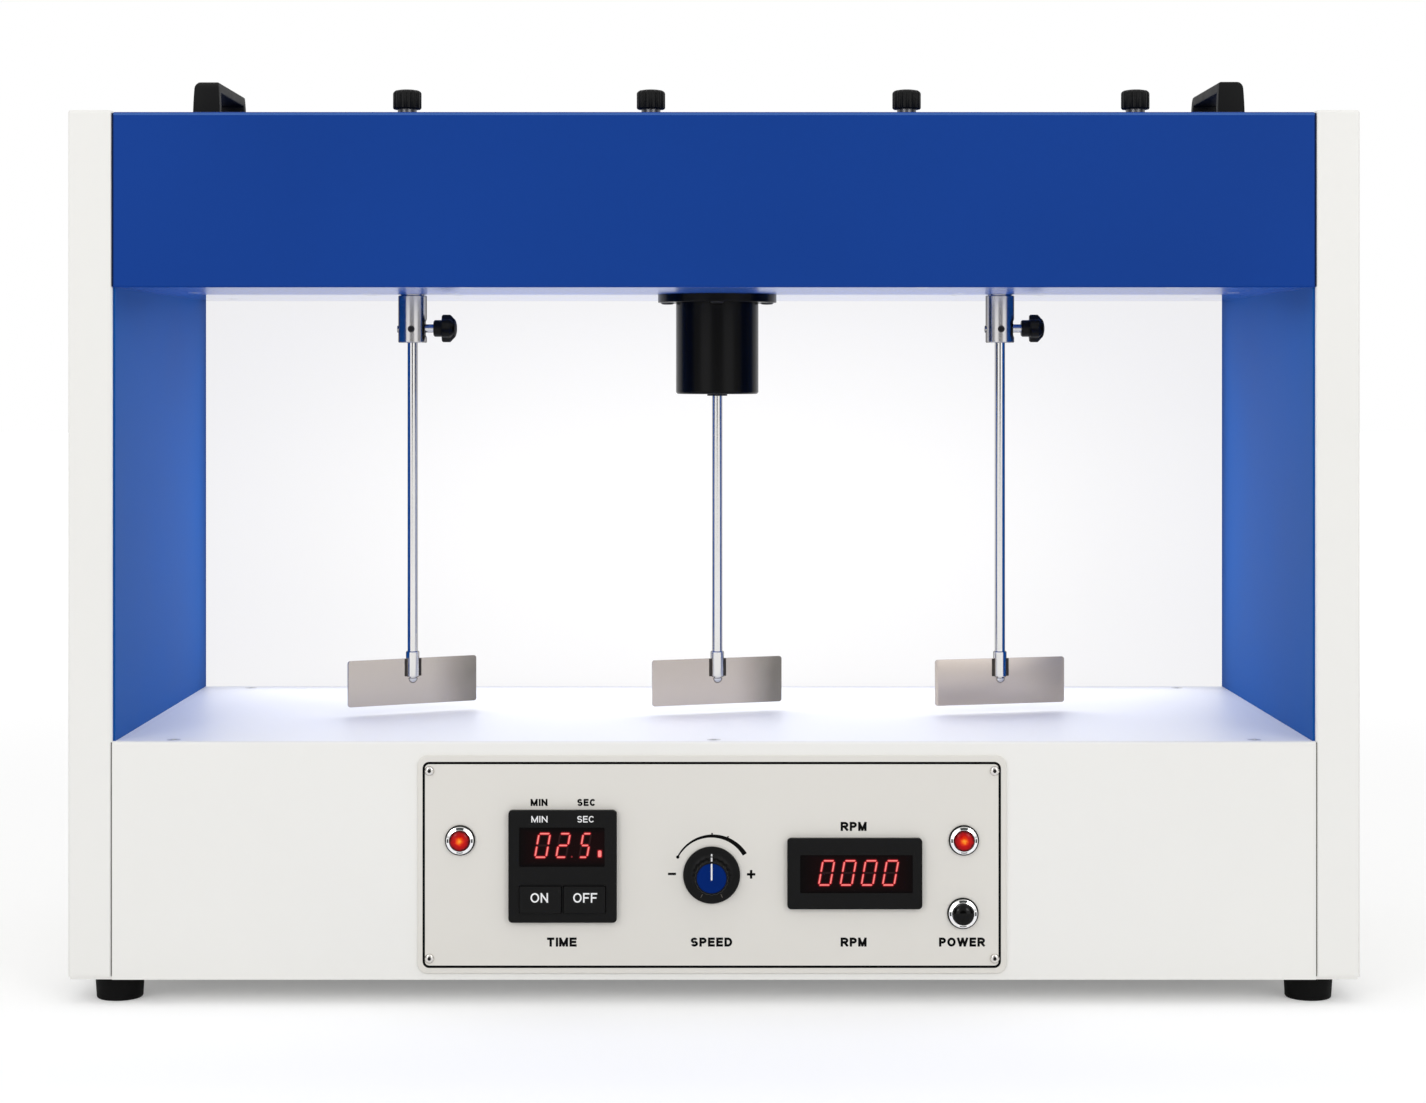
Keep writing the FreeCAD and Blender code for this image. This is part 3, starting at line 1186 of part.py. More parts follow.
def clamp_knob(x):
    """Lobed hand knob whose screw grips the rod through the chuck's wall."""
    axis_point = point(x, SPINDLE_DEPTH, clamp_z)

    def along(distance):
        return axis_point + X_AXIS * distance

    screw = rod(CLAMP_SCREW_RADIUS, along(ROD_RADIUS + PART_GAP), along(clamp_hub_start + SHEET))
    hub = rod(CLAMP_HUB_RADIUS, along(clamp_hub_start), along(clamp_head_start + SHEET))
    dome_base = clamp_head_end - CLAMP_DOME
    head = rod(CLAMP_HEAD_RADIUS, along(clamp_head_start), along(dome_base))
    head = round_edges(head, FINE_EDGE, lambda edge: lies_at(edge, X_AXIS, [x + clamp_head_start]))
    cap = dome(CLAMP_HEAD_RADIUS, CLAMP_DOME, along(dome_base), X_AXIS)
    head = join([head, cap])
    cuts = []
    reach = CLAMP_HEAD_RADIUS + CLAMP_LOBE_SHIFT
    for index in range(CLAMP_LOBES):
        angle = 2 * math.pi * (index + 0.5) / CLAMP_LOBES
        offset = Y_AXIS * (reach * math.cos(angle)) + Z_AXIS * (reach * math.sin(angle))
        start = along(clamp_head_start - SHEET) + offset
        cuts.append(rod(CLAMP_LOBE_CUT, start, along(clamp_head_end) + offset))
    return join([screw, hub, head.cut(cuts)])


# ---------------------------------------------------------------- control panel
def module_size(width, height):
    """Size of the housing behind a bezel."""
    return (width - 2 * MODULE_INSET, height - 2 * MODULE_INSET)


def control_panel():
    """Front plate with cut-outs for the instruments."""
    panel = round_tile((PANEL_X, panel_z), (PANEL_WIDTH, panel_height), PANEL_CORNER, (panel_front, 0))
    panel = soften_front(panel, FINE_EDGE, panel_front)
    through = (panel_front - SHEET, SHEET)
    holes = []
    timer = (timer_x, timer_z, TIMER_WIDTH, TIMER_HEIGHT)
    display = (rpm_x, rpm_z, RPM_WIDTH, RPM_HEIGHT)
    for x, z, width, height in (timer, display):
        inner_width, inner_height = module_size(width, height)
        size = (inner_width + 2 * MODULE_GAP, inner_height + 2 * MODULE_GAP)
        holes.append(round_tile((x, z), size, BEZEL_CORNER / 2, through))
    holes.append(level(pot_bush_radius + MODULE_GAP, dial_x, dial_z, through))
    for x in lamp_x:
        holes.append(level(lamp_barrel_radius + MODULE_GAP, x, lamp_z, through))
    holes.append(level(power_barrel_radius + MODULE_GAP, power_x, power_z, through))
    for x, z in panel_screw_places():
        holes.append(through_hole(BUTTON_SHANK_RADIUS, point(x, panel_front, z), Y_AXIS, PANEL_THICKNESS))
    return panel.cut(holes)


def key_centres():
    """(x, z) of the ON and OFF keys."""
    return [(timer_x - key_pitch / 2, key_z), (timer_x + key_pitch / 2, key_z)]


def timer_bezel():
    """Timer's front frame with its window and key openings."""
    depth_span = (bezel_front, panel_front)
    bezel = round_tile((timer_x, timer_z), (TIMER_WIDTH, TIMER_HEIGHT), BEZEL_CORNER, depth_span)
    bezel = soften_front(bezel, BEZEL_EDGE, bezel_front)
    through = (bezel_front - SHEET, panel_front + SHEET)
    window_size = (timer_window_width, TIMER_WINDOW_HEIGHT)
    window = round_tile((timer_window_x, timer_window_z), window_size, BEZEL_EDGE, through)
    key_size = (key_width + 2 * KEY_GAP, KEY_HEIGHT + 2 * KEY_GAP)
    keys = [round_tile(centre, key_size, KEY_CORNER, through) for centre in key_centres()]
    return bezel.cut([window] + keys)


def timer_window():
    """Dark window of the timer."""
    return round_tile(
        (timer_window_x, timer_window_z),
        (timer_window_width, TIMER_WINDOW_HEIGHT),
        BEZEL_EDGE,
        (bezel_front + WINDOW_RECESS, panel_front),
    )


def timer_module():
    """Timer's housing behind the panel, with a pocket for each key."""
    depth_span = (panel_front, panel_front + MODULE_DEPTH)
    size = module_size(TIMER_WIDTH, TIMER_HEIGHT)
    body = round_tile((timer_x, timer_z), size, BEZEL_CORNER / 2, depth_span)
    pocket_back = panel_front + KEY_BACK + KEY_LIP_THICKNESS + KEY_TRAVEL + KEY_ROOM
    pockets = []
    for centre in key_centres():
        size = (key_width + 2 * KEY_GAP, KEY_HEIGHT + 2 * KEY_LIP + 2 * KEY_GAP)
        pockets.append(round_tile(centre, size, KEY_CORNER / 2, (panel_front, pocket_back)))
    return body.cut(pockets)


def key(centre):
    """Push key with a lip behind the bezel at its top and bottom."""
    lip_front = panel_front + KEY_BACK
    cap = round_tile(centre, (key_width, KEY_HEIGHT), KEY_CORNER, (bezel_front - KEY_PROUD, lip_front))
    cap = soften_front(cap, BEZEL_EDGE / 2, bezel_front - KEY_PROUD)
    size = (key_width, KEY_HEIGHT + 2 * KEY_LIP)
    lip = round_tile(centre, size, KEY_CORNER / 2, (lip_front, lip_front + KEY_LIP_THICKNESS))
    return join([cap, lip])


def rpm_bezel():
    """Front frame of the speed display."""
    bezel = round_tile((rpm_x, rpm_z), (RPM_WIDTH, RPM_HEIGHT), BEZEL_CORNER, (bezel_front, panel_front))
    bezel = soften_front(bezel, BEZEL_EDGE, bezel_front)
    through = (bezel_front - SHEET, panel_front + SHEET)
    window_size = (rpm_window_width, rpm_window_height)
    return bezel.cut(round_tile((rpm_window_x, rpm_z), window_size, BEZEL_EDGE, through))


def rpm_window():
    """Dark window of the speed display."""
    return round_tile(
        (rpm_window_x, rpm_z),
        (rpm_window_width, rpm_window_height),
        BEZEL_EDGE,
        (bezel_front + WINDOW_RECESS, panel_front),
    )


def rpm_module():
    """Housing of the speed display behind the panel."""
    depth_span = (panel_front, panel_front + MODULE_DEPTH)
    return round_tile((rpm_x, rpm_z), module_size(RPM_WIDTH, RPM_HEIGHT), BEZEL_CORNER / 2, depth_span)


def speed_knob():
    """Skirted dial with a fluted grip, and the potentiometer's shaft in it."""
    origin = point(dial_x, panel_front - DIAL_GAP, dial_z)
    pocket_radius = pot_nut_radius + SHEET
    profile = [
        (DIAL_SHAFT_RADIUS, DIAL_POCKET),
        (pocket_radius, DIAL_POCKET),
        (pocket_radius, 0),
        (DIAL_RADIUS, 0),
        (DIAL_RADIUS, DIAL_SKIRT),
        (dial_grip_radius, DIAL_GRIP_BASE),
        (dial_front_radius, DIAL_HEIGHT),
        (DIAL_CAP_RADIUS, DIAL_HEIGHT),
        (DIAL_CAP_RADIUS, DIAL_HEIGHT - DIAL_CAP_THICKNESS),
        (DIAL_SHAFT_RADIUS, DIAL_HEIGHT - DIAL_CAP_THICKNESS),
    ]
    dial = turned(profile, origin, Y_AXIS * -1, X_AXIS)
    flute_radius = math.pi * dial_grip_radius / DIAL_FLUTES / 2
    flutes = []
    for index in range(DIAL_FLUTES):
        angle = 2 * math.pi * (index + 0.5) / DIAL_FLUTES
        across = X_AXIS * math.sin(angle) + Z_AXIS * math.cos(angle)
        reach = dial_grip_radius + flute_radius * FLUTE_SHIFT
        start = origin + across * reach - Y_AXIS * DIAL_GRIP_BASE
        flutes.append(rod(flute_radius, start, start - Y_AXIS * DIAL_HEIGHT))
    shaft_start = point(dial_x, DIAL_SHAFT_BACK, dial_z)
    shaft = rod(DIAL_SHAFT_RADIUS, shaft_start, origin - Y_AXIS * (DIAL_HEIGHT - DIAL_CAP_THICKNESS))
    return Part.makeCompound([dial.cut(flutes), shaft])


def speed_knob_cap():
    """Blue disc in the dial's front."""
    front = panel_front - DIAL_GAP - DIAL_HEIGHT
    return level(DIAL_CAP_RADIUS, dial_x, dial_z, (front, front + DIAL_CAP_THICKNESS))


def speed_potentiometer():
    """Potentiometer behind the panel, with its threaded bush and nut."""
    can = level(POT_RADIUS, dial_x, dial_z, (0, POT_LENGTH))
    bush = level(pot_bush_radius, dial_x, dial_z, (panel_front - POT_NUT_HEIGHT, SHEET))
    nut_start = point(dial_x, panel_front - POT_NUT_HEIGHT, dial_z)
    nut = hexagon(pot_nut_radius, nut_start, point(dial_x, panel_front, dial_z))
    bore_span = (panel_front - POT_NUT_HEIGHT, DIAL_SHAFT_BACK + SHEET)
    bore = level(DIAL_SHAFT_RADIUS + RUNNING_GAP, dial_x, dial_z, bore_span)
    return join([can, bush, nut]).cut(bore)


def lamp_bezel(x):
    """Chromed rim and barrel of one lamp."""
    rim = level(lamp_bezel_radius, x, lamp_z, (panel_front - LAMP_RIM, panel_front))
    rim = soften_front(rim, LAMP_RIM / 3, panel_front - LAMP_RIM)
    barrel = level(lamp_barrel_radius, x, lamp_z, (panel_front - SHEET, LAMP_BARREL_DEPTH))
    bore = level(LAMP_LENS_RADIUS, x, lamp_z, (panel_front - LAMP_RIM, LAMP_BARREL_DEPTH - LAMP_END_WALL))
    return join([rim, barrel]).cut(bore)


def barrel_nut(barrel_radius, wall, x, z):
    """Nut behind the panel that holds a lamp or the switch."""
    nut = hexagon(barrel_radius + wall, point(x, 0, z), point(x, BARREL_NUT_HEIGHT, z))
    return nut.cut(level(barrel_radius + THREAD_GAP, x, z, (0, BARREL_NUT_HEIGHT)))


def lamp_bezels():
    nuts = [barrel_nut(lamp_barrel_radius, LAMP_NUT_WALL, x, lamp_z) for x in lamp_x]
    return Part.makeCompound([lamp_bezel(x) for x in lamp_x] + nuts)


def lamp_lenses():
    """Domed red lenses."""
    lenses = []
    front = panel_front - LAMP_RIM
    for x in lamp_x:
        stem = level(LAMP_LENS_RADIUS, x, lamp_z, (front, LAMP_LENS_BACK))
        cap = dome(LAMP_LENS_RADIUS, LAMP_LENS_PROUD, point(x, front, lamp_z), Y_AXIS * -1)
        lenses.append(join([stem, cap]))
    return Part.makeCompound(lenses)


def power_switch():
    """Chromed rim and body of the power switch, with two terminals."""
    rim = level(power_bezel_radius, power_x, power_z, (panel_front - LAMP_RIM, panel_front))
    rim = soften_front(rim, LAMP_RIM / 3, panel_front - LAMP_RIM)
    barrel = level(power_barrel_radius, power_x, power_z, (panel_front - SHEET, POWER_BARREL_DEPTH))
    bore_back = POWER_BUTTON_BACK + POWER_TRAVEL + POWER_ROOM
    bore = level(POWER_BUTTON_RADIUS + PART_GAP, power_x, power_z, (panel_front - LAMP_RIM, bore_back))
    terminals = []
    for side in (-1, 1):
        x = power_x + side * power_barrel_radius / 2
        terminals.append(
            block(
                (x - SHEET / 2, x + SHEET / 2),
                (POWER_BARREL_DEPTH - SHEET, POWER_BARREL_DEPTH + PIN_RECESS),
                (power_z - PIN_WIDTH, power_z + PIN_WIDTH),
            )
        )
    nut = barrel_nut(power_barrel_radius, POWER_NUT_WALL, power_x, power_z)
    return Part.makeCompound([join([rim, barrel] + terminals).cut(bore), nut])


def power_button():
    """Domed cap of the power switch."""
    front = panel_front - LAMP_RIM
    dome_base = front - POWER_BUTTON_PROUD + POWER_DOME
    stem = level(POWER_BUTTON_RADIUS, power_x, power_z, (dome_base, POWER_BUTTON_BACK))
    cap = dome(POWER_BUTTON_RADIUS, POWER_DOME, point(power_x, dome_base, power_z), Y_AXIS * -1)
    return join([stem, cap])


# ---------------------------------------------------------------- electrics
def power_supply():
    """Enclosed supply on the bottom plate, with slots over its top and a terminal block."""
    width, depth, height = SUPPLY_SIZE
    x0 = SUPPLY_X - width / 2
    box = block((x0, x0 + width), (SUPPLY_DEPTH, SUPPLY_DEPTH + depth), (floor_z, floor_z + height))
    box = round_edges(box, EDGE_RADIUS, lambda edge: runs_along(edge, Z_AXIS))
    slots = []
    for index in range(SUPPLY_SLOTS):
        x = SUPPLY_X + (index - (SUPPLY_SLOTS - 1) / 2) * SUPPLY_SLOT_PITCH
        slots.append(
            block(
                (x - VENT_WIDTH / 2, x + VENT_WIDTH / 2),
                (SUPPLY_DEPTH + depth / 4, SUPPLY_DEPTH + depth * 3 / 4),
                (floor_z + height - SHEET, floor_z + height + SHEET),
            )
        )
    terminal = block(
        (x0 - SUPPLY_TERMINAL, x0 + SHEET),
        (SUPPLY_DEPTH + SUPPLY_TERMINAL, SUPPLY_DEPTH + depth - SUPPLY_TERMINAL),
        (floor_z, floor_z + height / 2),
    )
    return join([box.cut(slots), terminal])


def motor_driver():
    """Driver board on standoffs, with a finned heat sink and two capacitors."""
    width, depth, thickness = DRIVER_SIZE
    board_z = floor_z + DRIVER_STANDOFF
    top_z = board_z + thickness
    x0 = DRIVER_X - width / 2
    pieces = [block((x0, x0 + width), (DRIVER_DEPTH, DRIVER_DEPTH + depth), (board_z, top_z))]
    for x in (x0 + DRIVER_POST_INSET, x0 + width - DRIVER_POST_INSET):
        for post_depth in (DRIVER_DEPTH + DRIVER_POST_INSET, DRIVER_DEPTH + depth - DRIVER_POST_INSET):
            pieces.append(upright(DRIVER_POST_RADIUS, x, post_depth, (floor_z, board_z)))
    sink_width, sink_depth, sink_height = HEAT_SINK_SIZE
    sink_x = x0 + 2 * DRIVER_POST_INSET
    sink_back = DRIVER_DEPTH + 2 * DRIVER_POST_INSET + sink_depth
    sink_span = (DRIVER_DEPTH + 2 * DRIVER_POST_INSET, sink_back)
    pieces.append(block((sink_x, sink_x + sink_width), sink_span, (top_z, top_z + HEAT_SINK_BASE)))
    fin_step = (sink_width - HEAT_SINK_FIN) / (HEAT_SINK_FINS - 1)
    for index in range(HEAT_SINK_FINS):
        fin_x = sink_x + index * fin_step
        pieces.append(block((fin_x, fin_x + HEAT_SINK_FIN), sink_span, (top_z, top_z + sink_height)))
    for index in range(2):
        x = x0 + width - 2 * DRIVER_POST_INSET - CAPACITOR_RADIUS - CAPACITOR_PITCH * index
        z_span = (top_z, top_z + CAPACITOR_HEIGHT)
        pieces.append(upright(CAPACITOR_RADIUS, x, DRIVER_DEPTH + depth / 2, z_span))
    return join(pieces)


def mains_inlet():
    """Appliance inlet in the rear cover: flange, hollow body and three pins."""
    rear = BODY_DEPTH + SHEET
    centre = (INLET_X, inlet_z)
    flange = round_tile(centre, (INLET_WIDTH, INLET_HEIGHT), INLET_CORNER, (rear, rear + INLET_RIM))
    body_size = (INLET_BODY_WIDTH, INLET_BODY_HEIGHT)
    body = round_tile(centre, body_size, INLET_BODY_CORNER, (rear - INLET_BODY_DEPTH, rear))
    mouth_floor = rear + INLET_RIM - INLET_MOUTH_DEPTH
    mouth_span = (mouth_floor, rear + INLET_RIM + SHEET)
    mouth = round_tile(centre, (INLET_MOUTH_WIDTH, INLET_MOUTH_HEIGHT), SHEET, mouth_span)
    pins = []
    for x_step, z_step in ((-1, -1), (1, -1), (0, 1)):
        x = INLET_X + x_step * PIN_PITCH
        z = inlet_z + z_step * PIN_DROP
        pins.append(
            block(
                (x - PIN_WIDTH / 2, x + PIN_WIDTH / 2),
                (mouth_floor, rear + INLET_RIM - PIN_RECESS),
                (z - PIN_HEIGHT / 2, z + PIN_HEIGHT / 2),
            )
        )
    return Part.makeCompound([join([flange, body]).cut(mouth)] + pins)


# ---------------------------------------------------------------- the whole object
def all_pieces():
    """Every node's name and shape."""
    pieces = {
        "left_cheek_shell": mirrored(right_cheek_shell()),
        "right_cheek_shell": right_cheek_shell(),
        "left_inner_panel": mirrored(right_inner_panel()),
        "right_inner_panel": right_inner_panel(),
        "base_shell": base_shell(),
        "deck_plate": deck_plate(),
        "rear_diffuser": rear_diffuser(),
        "rear_cover": rear_cover(),
        "rear_led_strips": rear_led_strips(),
        "head_shell": head_shell(),
        "head_base_plate": head_base_plate(),
        "countersunk_screws": countersunk_screws(),
        "pan_head_screws": pan_head_screws(),
        "left_handle": handle(handle_places[0]),
        "right_handle": handle(handle_places[1]),
        "rubber_feet": rubber_feet(),
        "motor_can": motor_can(),
        "motor_stator": motor_stator(),
        "ball_bearings": ball_bearings(),
        "bearing_housings": bearing_housings(),
        "drive_belts": drive_belts(),
        "control_panel": control_panel(),
        "panel_screws": panel_screws(),
        "timer_bezel": timer_bezel(),
        "timer_window": timer_window(),
        "timer_module": timer_module(),
        "rpm_bezel": rpm_bezel(),
        "rpm_window": rpm_window(),
        "rpm_module": rpm_module(),
        "speed_potentiometer": speed_potentiometer(),
        "lamp_bezels": lamp_bezels(),
        "lamp_lenses": lamp_lenses(),
        "power_switch": power_switch(),
        "power_supply": power_supply(),
        "motor_driver": motor_driver(),
        "mains_inlet": mains_inlet(),
        "head_lid": head_lid(),
        "motor_rotor": motor_rotor(),
        "drive_pulley": pulley(CENTRE_SPINDLE_X, plate_top_z + SHEET, (lower_belt_z, upper_belt_z)),
        "centre_rod": agitator_rod(
            CENTRE_SPINDLE_X, CENTRE_YAW, lower_motor_bearing_z + RUNNING_GAP + ROD_SOCKET_DEPTH
        ),
        "centre_paddle": paddle(CENTRE_SPINDLE_X, CENTRE_YAW),
        "speed_knob": speed_knob(),
        "speed_knob_cap": speed_knob_cap(),
        "on_button": key(key_centres()[0]),
        "off_button": key(key_centres()[1]),
        "power_button": power_button(),
    }
    sides = (
        ("left", LEFT_SPINDLE_X, lower_belt_z, LEFT_YAW),
        ("right", RIGHT_SPINDLE_X, upper_belt_z, RIGHT_YAW),
    )
    for side, x, belt_z, yaw in sides:
        pieces[f"{side}_spindle"] = spindle(x, belt_z)
        pieces[f"{side}_pulley"] = pulley(x, pulley_bottom_z, (belt_z,))
        pieces[f"{side}_rod"] = agitator_rod(x, yaw, rod_top_z)
        pieces[f"{side}_paddle"] = paddle(x, yaw)
        pieces[f"{side}_clamp_knob"] = clamp_knob(x)
    for index, x in enumerate(LID_KNOB_X, start=1):
        pieces[f"lid_knob_{index}"] = lid_knob(x)
    return pieces


for node, shape in all_pieces().items():
    shape.exportStep(f"parts/{node}.step")
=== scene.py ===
"""Dresses a three-paddle jar tester: paints, metals, plastics, lettering, lit figures and studio."""

from __future__ import annotations

import logging
import math
from dataclasses import dataclass
from enum import Enum
from typing import Callable, Sequence

import bmesh
import bpy
from mathutils import Matrix, Vector

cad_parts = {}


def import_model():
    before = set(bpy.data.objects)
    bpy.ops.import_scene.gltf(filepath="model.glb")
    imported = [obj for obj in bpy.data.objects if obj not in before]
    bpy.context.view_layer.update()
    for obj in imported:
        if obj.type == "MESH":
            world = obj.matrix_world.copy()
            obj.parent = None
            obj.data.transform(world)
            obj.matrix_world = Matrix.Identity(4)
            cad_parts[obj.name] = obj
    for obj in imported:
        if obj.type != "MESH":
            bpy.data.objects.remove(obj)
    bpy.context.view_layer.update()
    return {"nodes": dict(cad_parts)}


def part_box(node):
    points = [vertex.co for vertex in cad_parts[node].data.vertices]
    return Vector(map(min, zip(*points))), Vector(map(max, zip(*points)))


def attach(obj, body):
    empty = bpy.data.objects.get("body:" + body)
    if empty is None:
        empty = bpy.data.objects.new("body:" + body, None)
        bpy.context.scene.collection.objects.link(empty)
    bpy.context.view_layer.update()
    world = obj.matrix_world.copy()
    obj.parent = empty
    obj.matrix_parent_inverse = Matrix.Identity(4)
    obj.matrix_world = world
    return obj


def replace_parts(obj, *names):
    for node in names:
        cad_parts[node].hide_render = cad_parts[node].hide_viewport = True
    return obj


LOG = logging.getLogger("jar_tester")

MM = 0.001
AXES = {"left": -167.4, "centre": 1.8, "right": 158.8}
AXIS_DEPTH = -10.75
HANDLE_PLACES = {"left": -277.7, "right": 283.0}
LID_TOP = 454.9
SHELL_FRONT = -140.75
PANEL_FRONT = -142.25
WINDOW_FRONT = -144.95
SHARP_BEND = math.radians(40)
CREASE = math.radians(35)

Colour = tuple[float, float, float]
Point = tuple[float, float]
Triple = tuple[float, float, float]
Term = "Channel | float | tuple | Vector"

FACING_FRONT = Matrix.Rotation(math.radians(90), 4, "X")
FACING_BACK = Matrix.Rotation(math.radians(-90), 4, "X")
FACING_DOWN = Matrix.Rotation(math.radians(180), 4, "X")
FACING_RIGHT = Matrix.Rotation(math.radians(90), 4, "Y")
FACING_LEFT = Matrix.Rotation(math.radians(-90), 4, "Y")


def paint(*levels: int) -> Colour:
    """Turns a screen's red, green and blue, from 0 to 255, into the linear colour that shaders use."""
    shares = (level / 255 for level in levels)
    return tuple(x / 12.92 if x <= 0.04045 else ((x + 0.055) / 1.055) ** 2.4 for x in shares)


def at(x: float, y: float, z: float) -> Matrix:
    """Gives the move to a place in millimetres."""
    return Matrix.Translation((x, y, z))


def round_z(degrees: float) -> Matrix:
    """Gives the turn round the z axis."""
    return Matrix.Rotation(math.radians(degrees), 4, "Z")


def on_front(plane: float) -> Matrix:
    """Gives the transform that stands a flat drawing up on the plane of this y, facing the front."""
    return at(0, plane, 0) @ FACING_FRONT


def anywhere(middle: Vector) -> bool:
    """Accepts every edge, wherever its middle is."""
    return True


# ---------------------------------------------------------------- shader nodes


class Channel:
    """A value inside a shader. Arithmetic on it adds Math nodes."""

    def __init__(self, sheet: NodeSheet, socket: bpy.types.NodeSocket) -> None:
        """Wraps the output of a node on a sheet."""
        self.sheet = sheet
        self.socket = socket

    def maths(self, operation: str, *terms: Term) -> Channel:
        """Gives the result of a new Math node with these inputs."""
        return self.sheet.add("ShaderNodeMath", {"operation": operation}, dict(enumerate(terms)))

    def __add__(self, other: Term) -> Channel:
        """Gives self + other."""
        return self.maths("ADD", self, other)

    def __radd__(self, other: Term) -> Channel:
        """Gives other + self."""
        return self.maths("ADD", other, self)

    def __sub__(self, other: Term) -> Channel:
        """Gives self - other."""
        return self.maths("SUBTRACT", self, other)

    def __rsub__(self, other: Term) -> Channel:
        """Gives other - self."""
        return self.maths("SUBTRACT", other, self)

    def __mul__(self, other: Term) -> Channel:
        """Gives self * other."""
        return self.maths("MULTIPLY", self, other)

    def __truediv__(self, other: Term) -> Channel:
        """Gives self / other."""
        return self.maths("DIVIDE", self, other)

    def __abs__(self) -> Channel:
        """Gives the value without its sign."""
        return self.maths("ABSOLUTE", self)

    def above(self, other: Term) -> Channel:
        """Gives the larger of the two values."""
        return self.maths("MAXIMUM", self, other)

    def away(self, other: Channel) -> Channel:
        """Gives the length of the line that has this value and the other as its legs."""
        return self.maths("SQRT", self * self + other * other)

    def eased(self, low: float, high: float, start: float = 0.0, end: float = 1.0) -> Channel:
        """Maps a span of the value onto another, with soft ends.

        Args:
            low: the value that gives start.
            high: the value that gives end.
            start: the result at low and before it.
            end: the result at high and past it.

        Returns:
            The mapped value.
        """
        inputs = {"Value": self, "From Min": low, "From Max": high, "To Min": start, "To Max": end}
        return self.sheet.add("ShaderNodeMapRange", {"interpolation_type": "SMOOTHSTEP"}, inputs)


class Grain(Enum):
    """How a pattern is stretched: its scale along x, y and z."""

    EVEN = (1.0, 1.0, 1.0)
    ALONG_X = (0.02, 1.0, 1.0)
    ALONG_Z = (1.0, 1.0, 0.02)
    ROUND_Z = (0.02, 0.02, 1.0)


class NodeSheet:
    """A node tree, and the one method that adds nodes to it."""

    def __init__(self, tree: bpy.types.NodeTree) -> None:
        """Takes the node tree of a material or of the world, and empties it."""
        self.tree = tree
        tree.nodes.clear()

    def add(
        self, kind: str, settings: dict | None = None, inputs: dict | None = None, output: int | str = 0
    ) -> Channel:
        """Adds a node.

        Args:
            kind: the node's type.
            settings: its own properties, set first; "stops" fills a colour ramp.
            inputs: a value or a Channel for each input, by name or number.
            output: the output to give back, by name or number.

        Returns:
            The output as a Channel.
        """
        node = self.tree.nodes.new(kind)
        for name, value in (settings or {}).items():
            if name == "stops":
                self.fill(node.color_ramp, value)
            else:
                setattr(node, name, value)
        for name, value in (inputs or {}).items():
            if isinstance(value, Channel):
                self.tree.links.new(value.socket, node.inputs[name])
            elif isinstance(value, tuple) and node.inputs[name].type == "RGBA":
                node.inputs[name].default_value = (*value, 1.0)
            else:
                node.inputs[name].default_value = value
        return Channel(self, node.outputs[output] if len(node.outputs) else None)

    @staticmethod
    def fill(ramp: bpy.types.ColorRamp, stops: Sequence[tuple[float, Colour]]) -> None:
        """Writes the stops of a colour ramp.

        Args:
            ramp: the ramp, which starts with two stops.
            stops: each stop's place from 0 to 1, and its colour.
        """
        while len(ramp.elements) < len(stops):
            ramp.elements.new(1.0)
        for element, (place, colour) in zip(ramp.elements, stops):
            element.position, element.color = place, (*colour, 1.0)

    def place(self, axis: str) -> Channel:
        """Gives the surface's X, Y or Z in metres."""
        here = self.add("ShaderNodeTexCoord", output="Object")
        return self.add("ShaderNodeSeparateXYZ", None, {0: here}, axis)

    def noise(self, size: float, grain: Grain = Grain.EVEN, detail: float = 2.0) -> Channel:
        """Adds noise on the object's own coordinates.

        Args:
            size: the width of its features in millimetres.
            grain: the direction in which it is drawn out.
            detail: how many finer layers it has.

        Returns:
            The noise, from 0 to 1, about 0.5.
        """
        here = self.add("ShaderNodeTexCoord", output="Object")
        drawn = self.add("ShaderNodeMapping", None, {"Vector": here, "Scale": grain.value})
        inputs = {"Vector": drawn, "Scale": 1 / (size * MM), "Detail": detail}
        return self.add("ShaderNodeTexNoise", None, inputs)

    def mix(self, share: Term, first: Term, second: Term) -> Channel:
        """Mixes a share of the second colour into the first."""
        return self.add("ShaderNodeMix", {"data_type": "RGBA"}, {0: share, 6: first, 7: second}, 2)

    def tinted(self, colour: Term, level: Term) -> Channel:
        """Gives a colour multiplied by a level."""
        return self.add("ShaderNodeVectorMath", {"operation": "SCALE"}, {0: colour, "Scale": level})

    def bump(self, height: Channel, depth: float) -> Channel:
        """Turns a height from 0 to 1 into a surface normal, for a relief this deep in millimetres."""
        return self.add("ShaderNodeBump", None, {"Height": height, "Distance": depth * MM})

    def surface(self, **sockets: Term) -> Channel:
        """Adds the surface shader. Its inputs have an underscore for each space in their names."""
        named = {name.replace("_", " "): value for name, value in sockets.items()}
        return self.add("ShaderNodeBsdfPrincipled", None, named)


# -------------------------------------------------------------------- finishes


@dataclass(frozen=True)
class Finish:
    """A finish with a name, which makes its material once."""

    name: str

    def material(self) -> bpy.types.Material:
        """Makes the finish's material at the first call.

        Returns:
            The material.
        """
        found = bpy.data.materials.get(self.name)
        if found is None:
            found = bpy.data.materials.new(self.name)
            found.use_nodes = True
            sheet = NodeSheet(found.node_tree)
            sheet.add("ShaderNodeOutputMaterial", None, {"Surface": self.shade(sheet)})
        return found

    def shade(self, sheet: NodeSheet) -> Channel:
        """Builds the shader of the finish on the sheet of a new material."""
        raise NotImplementedError


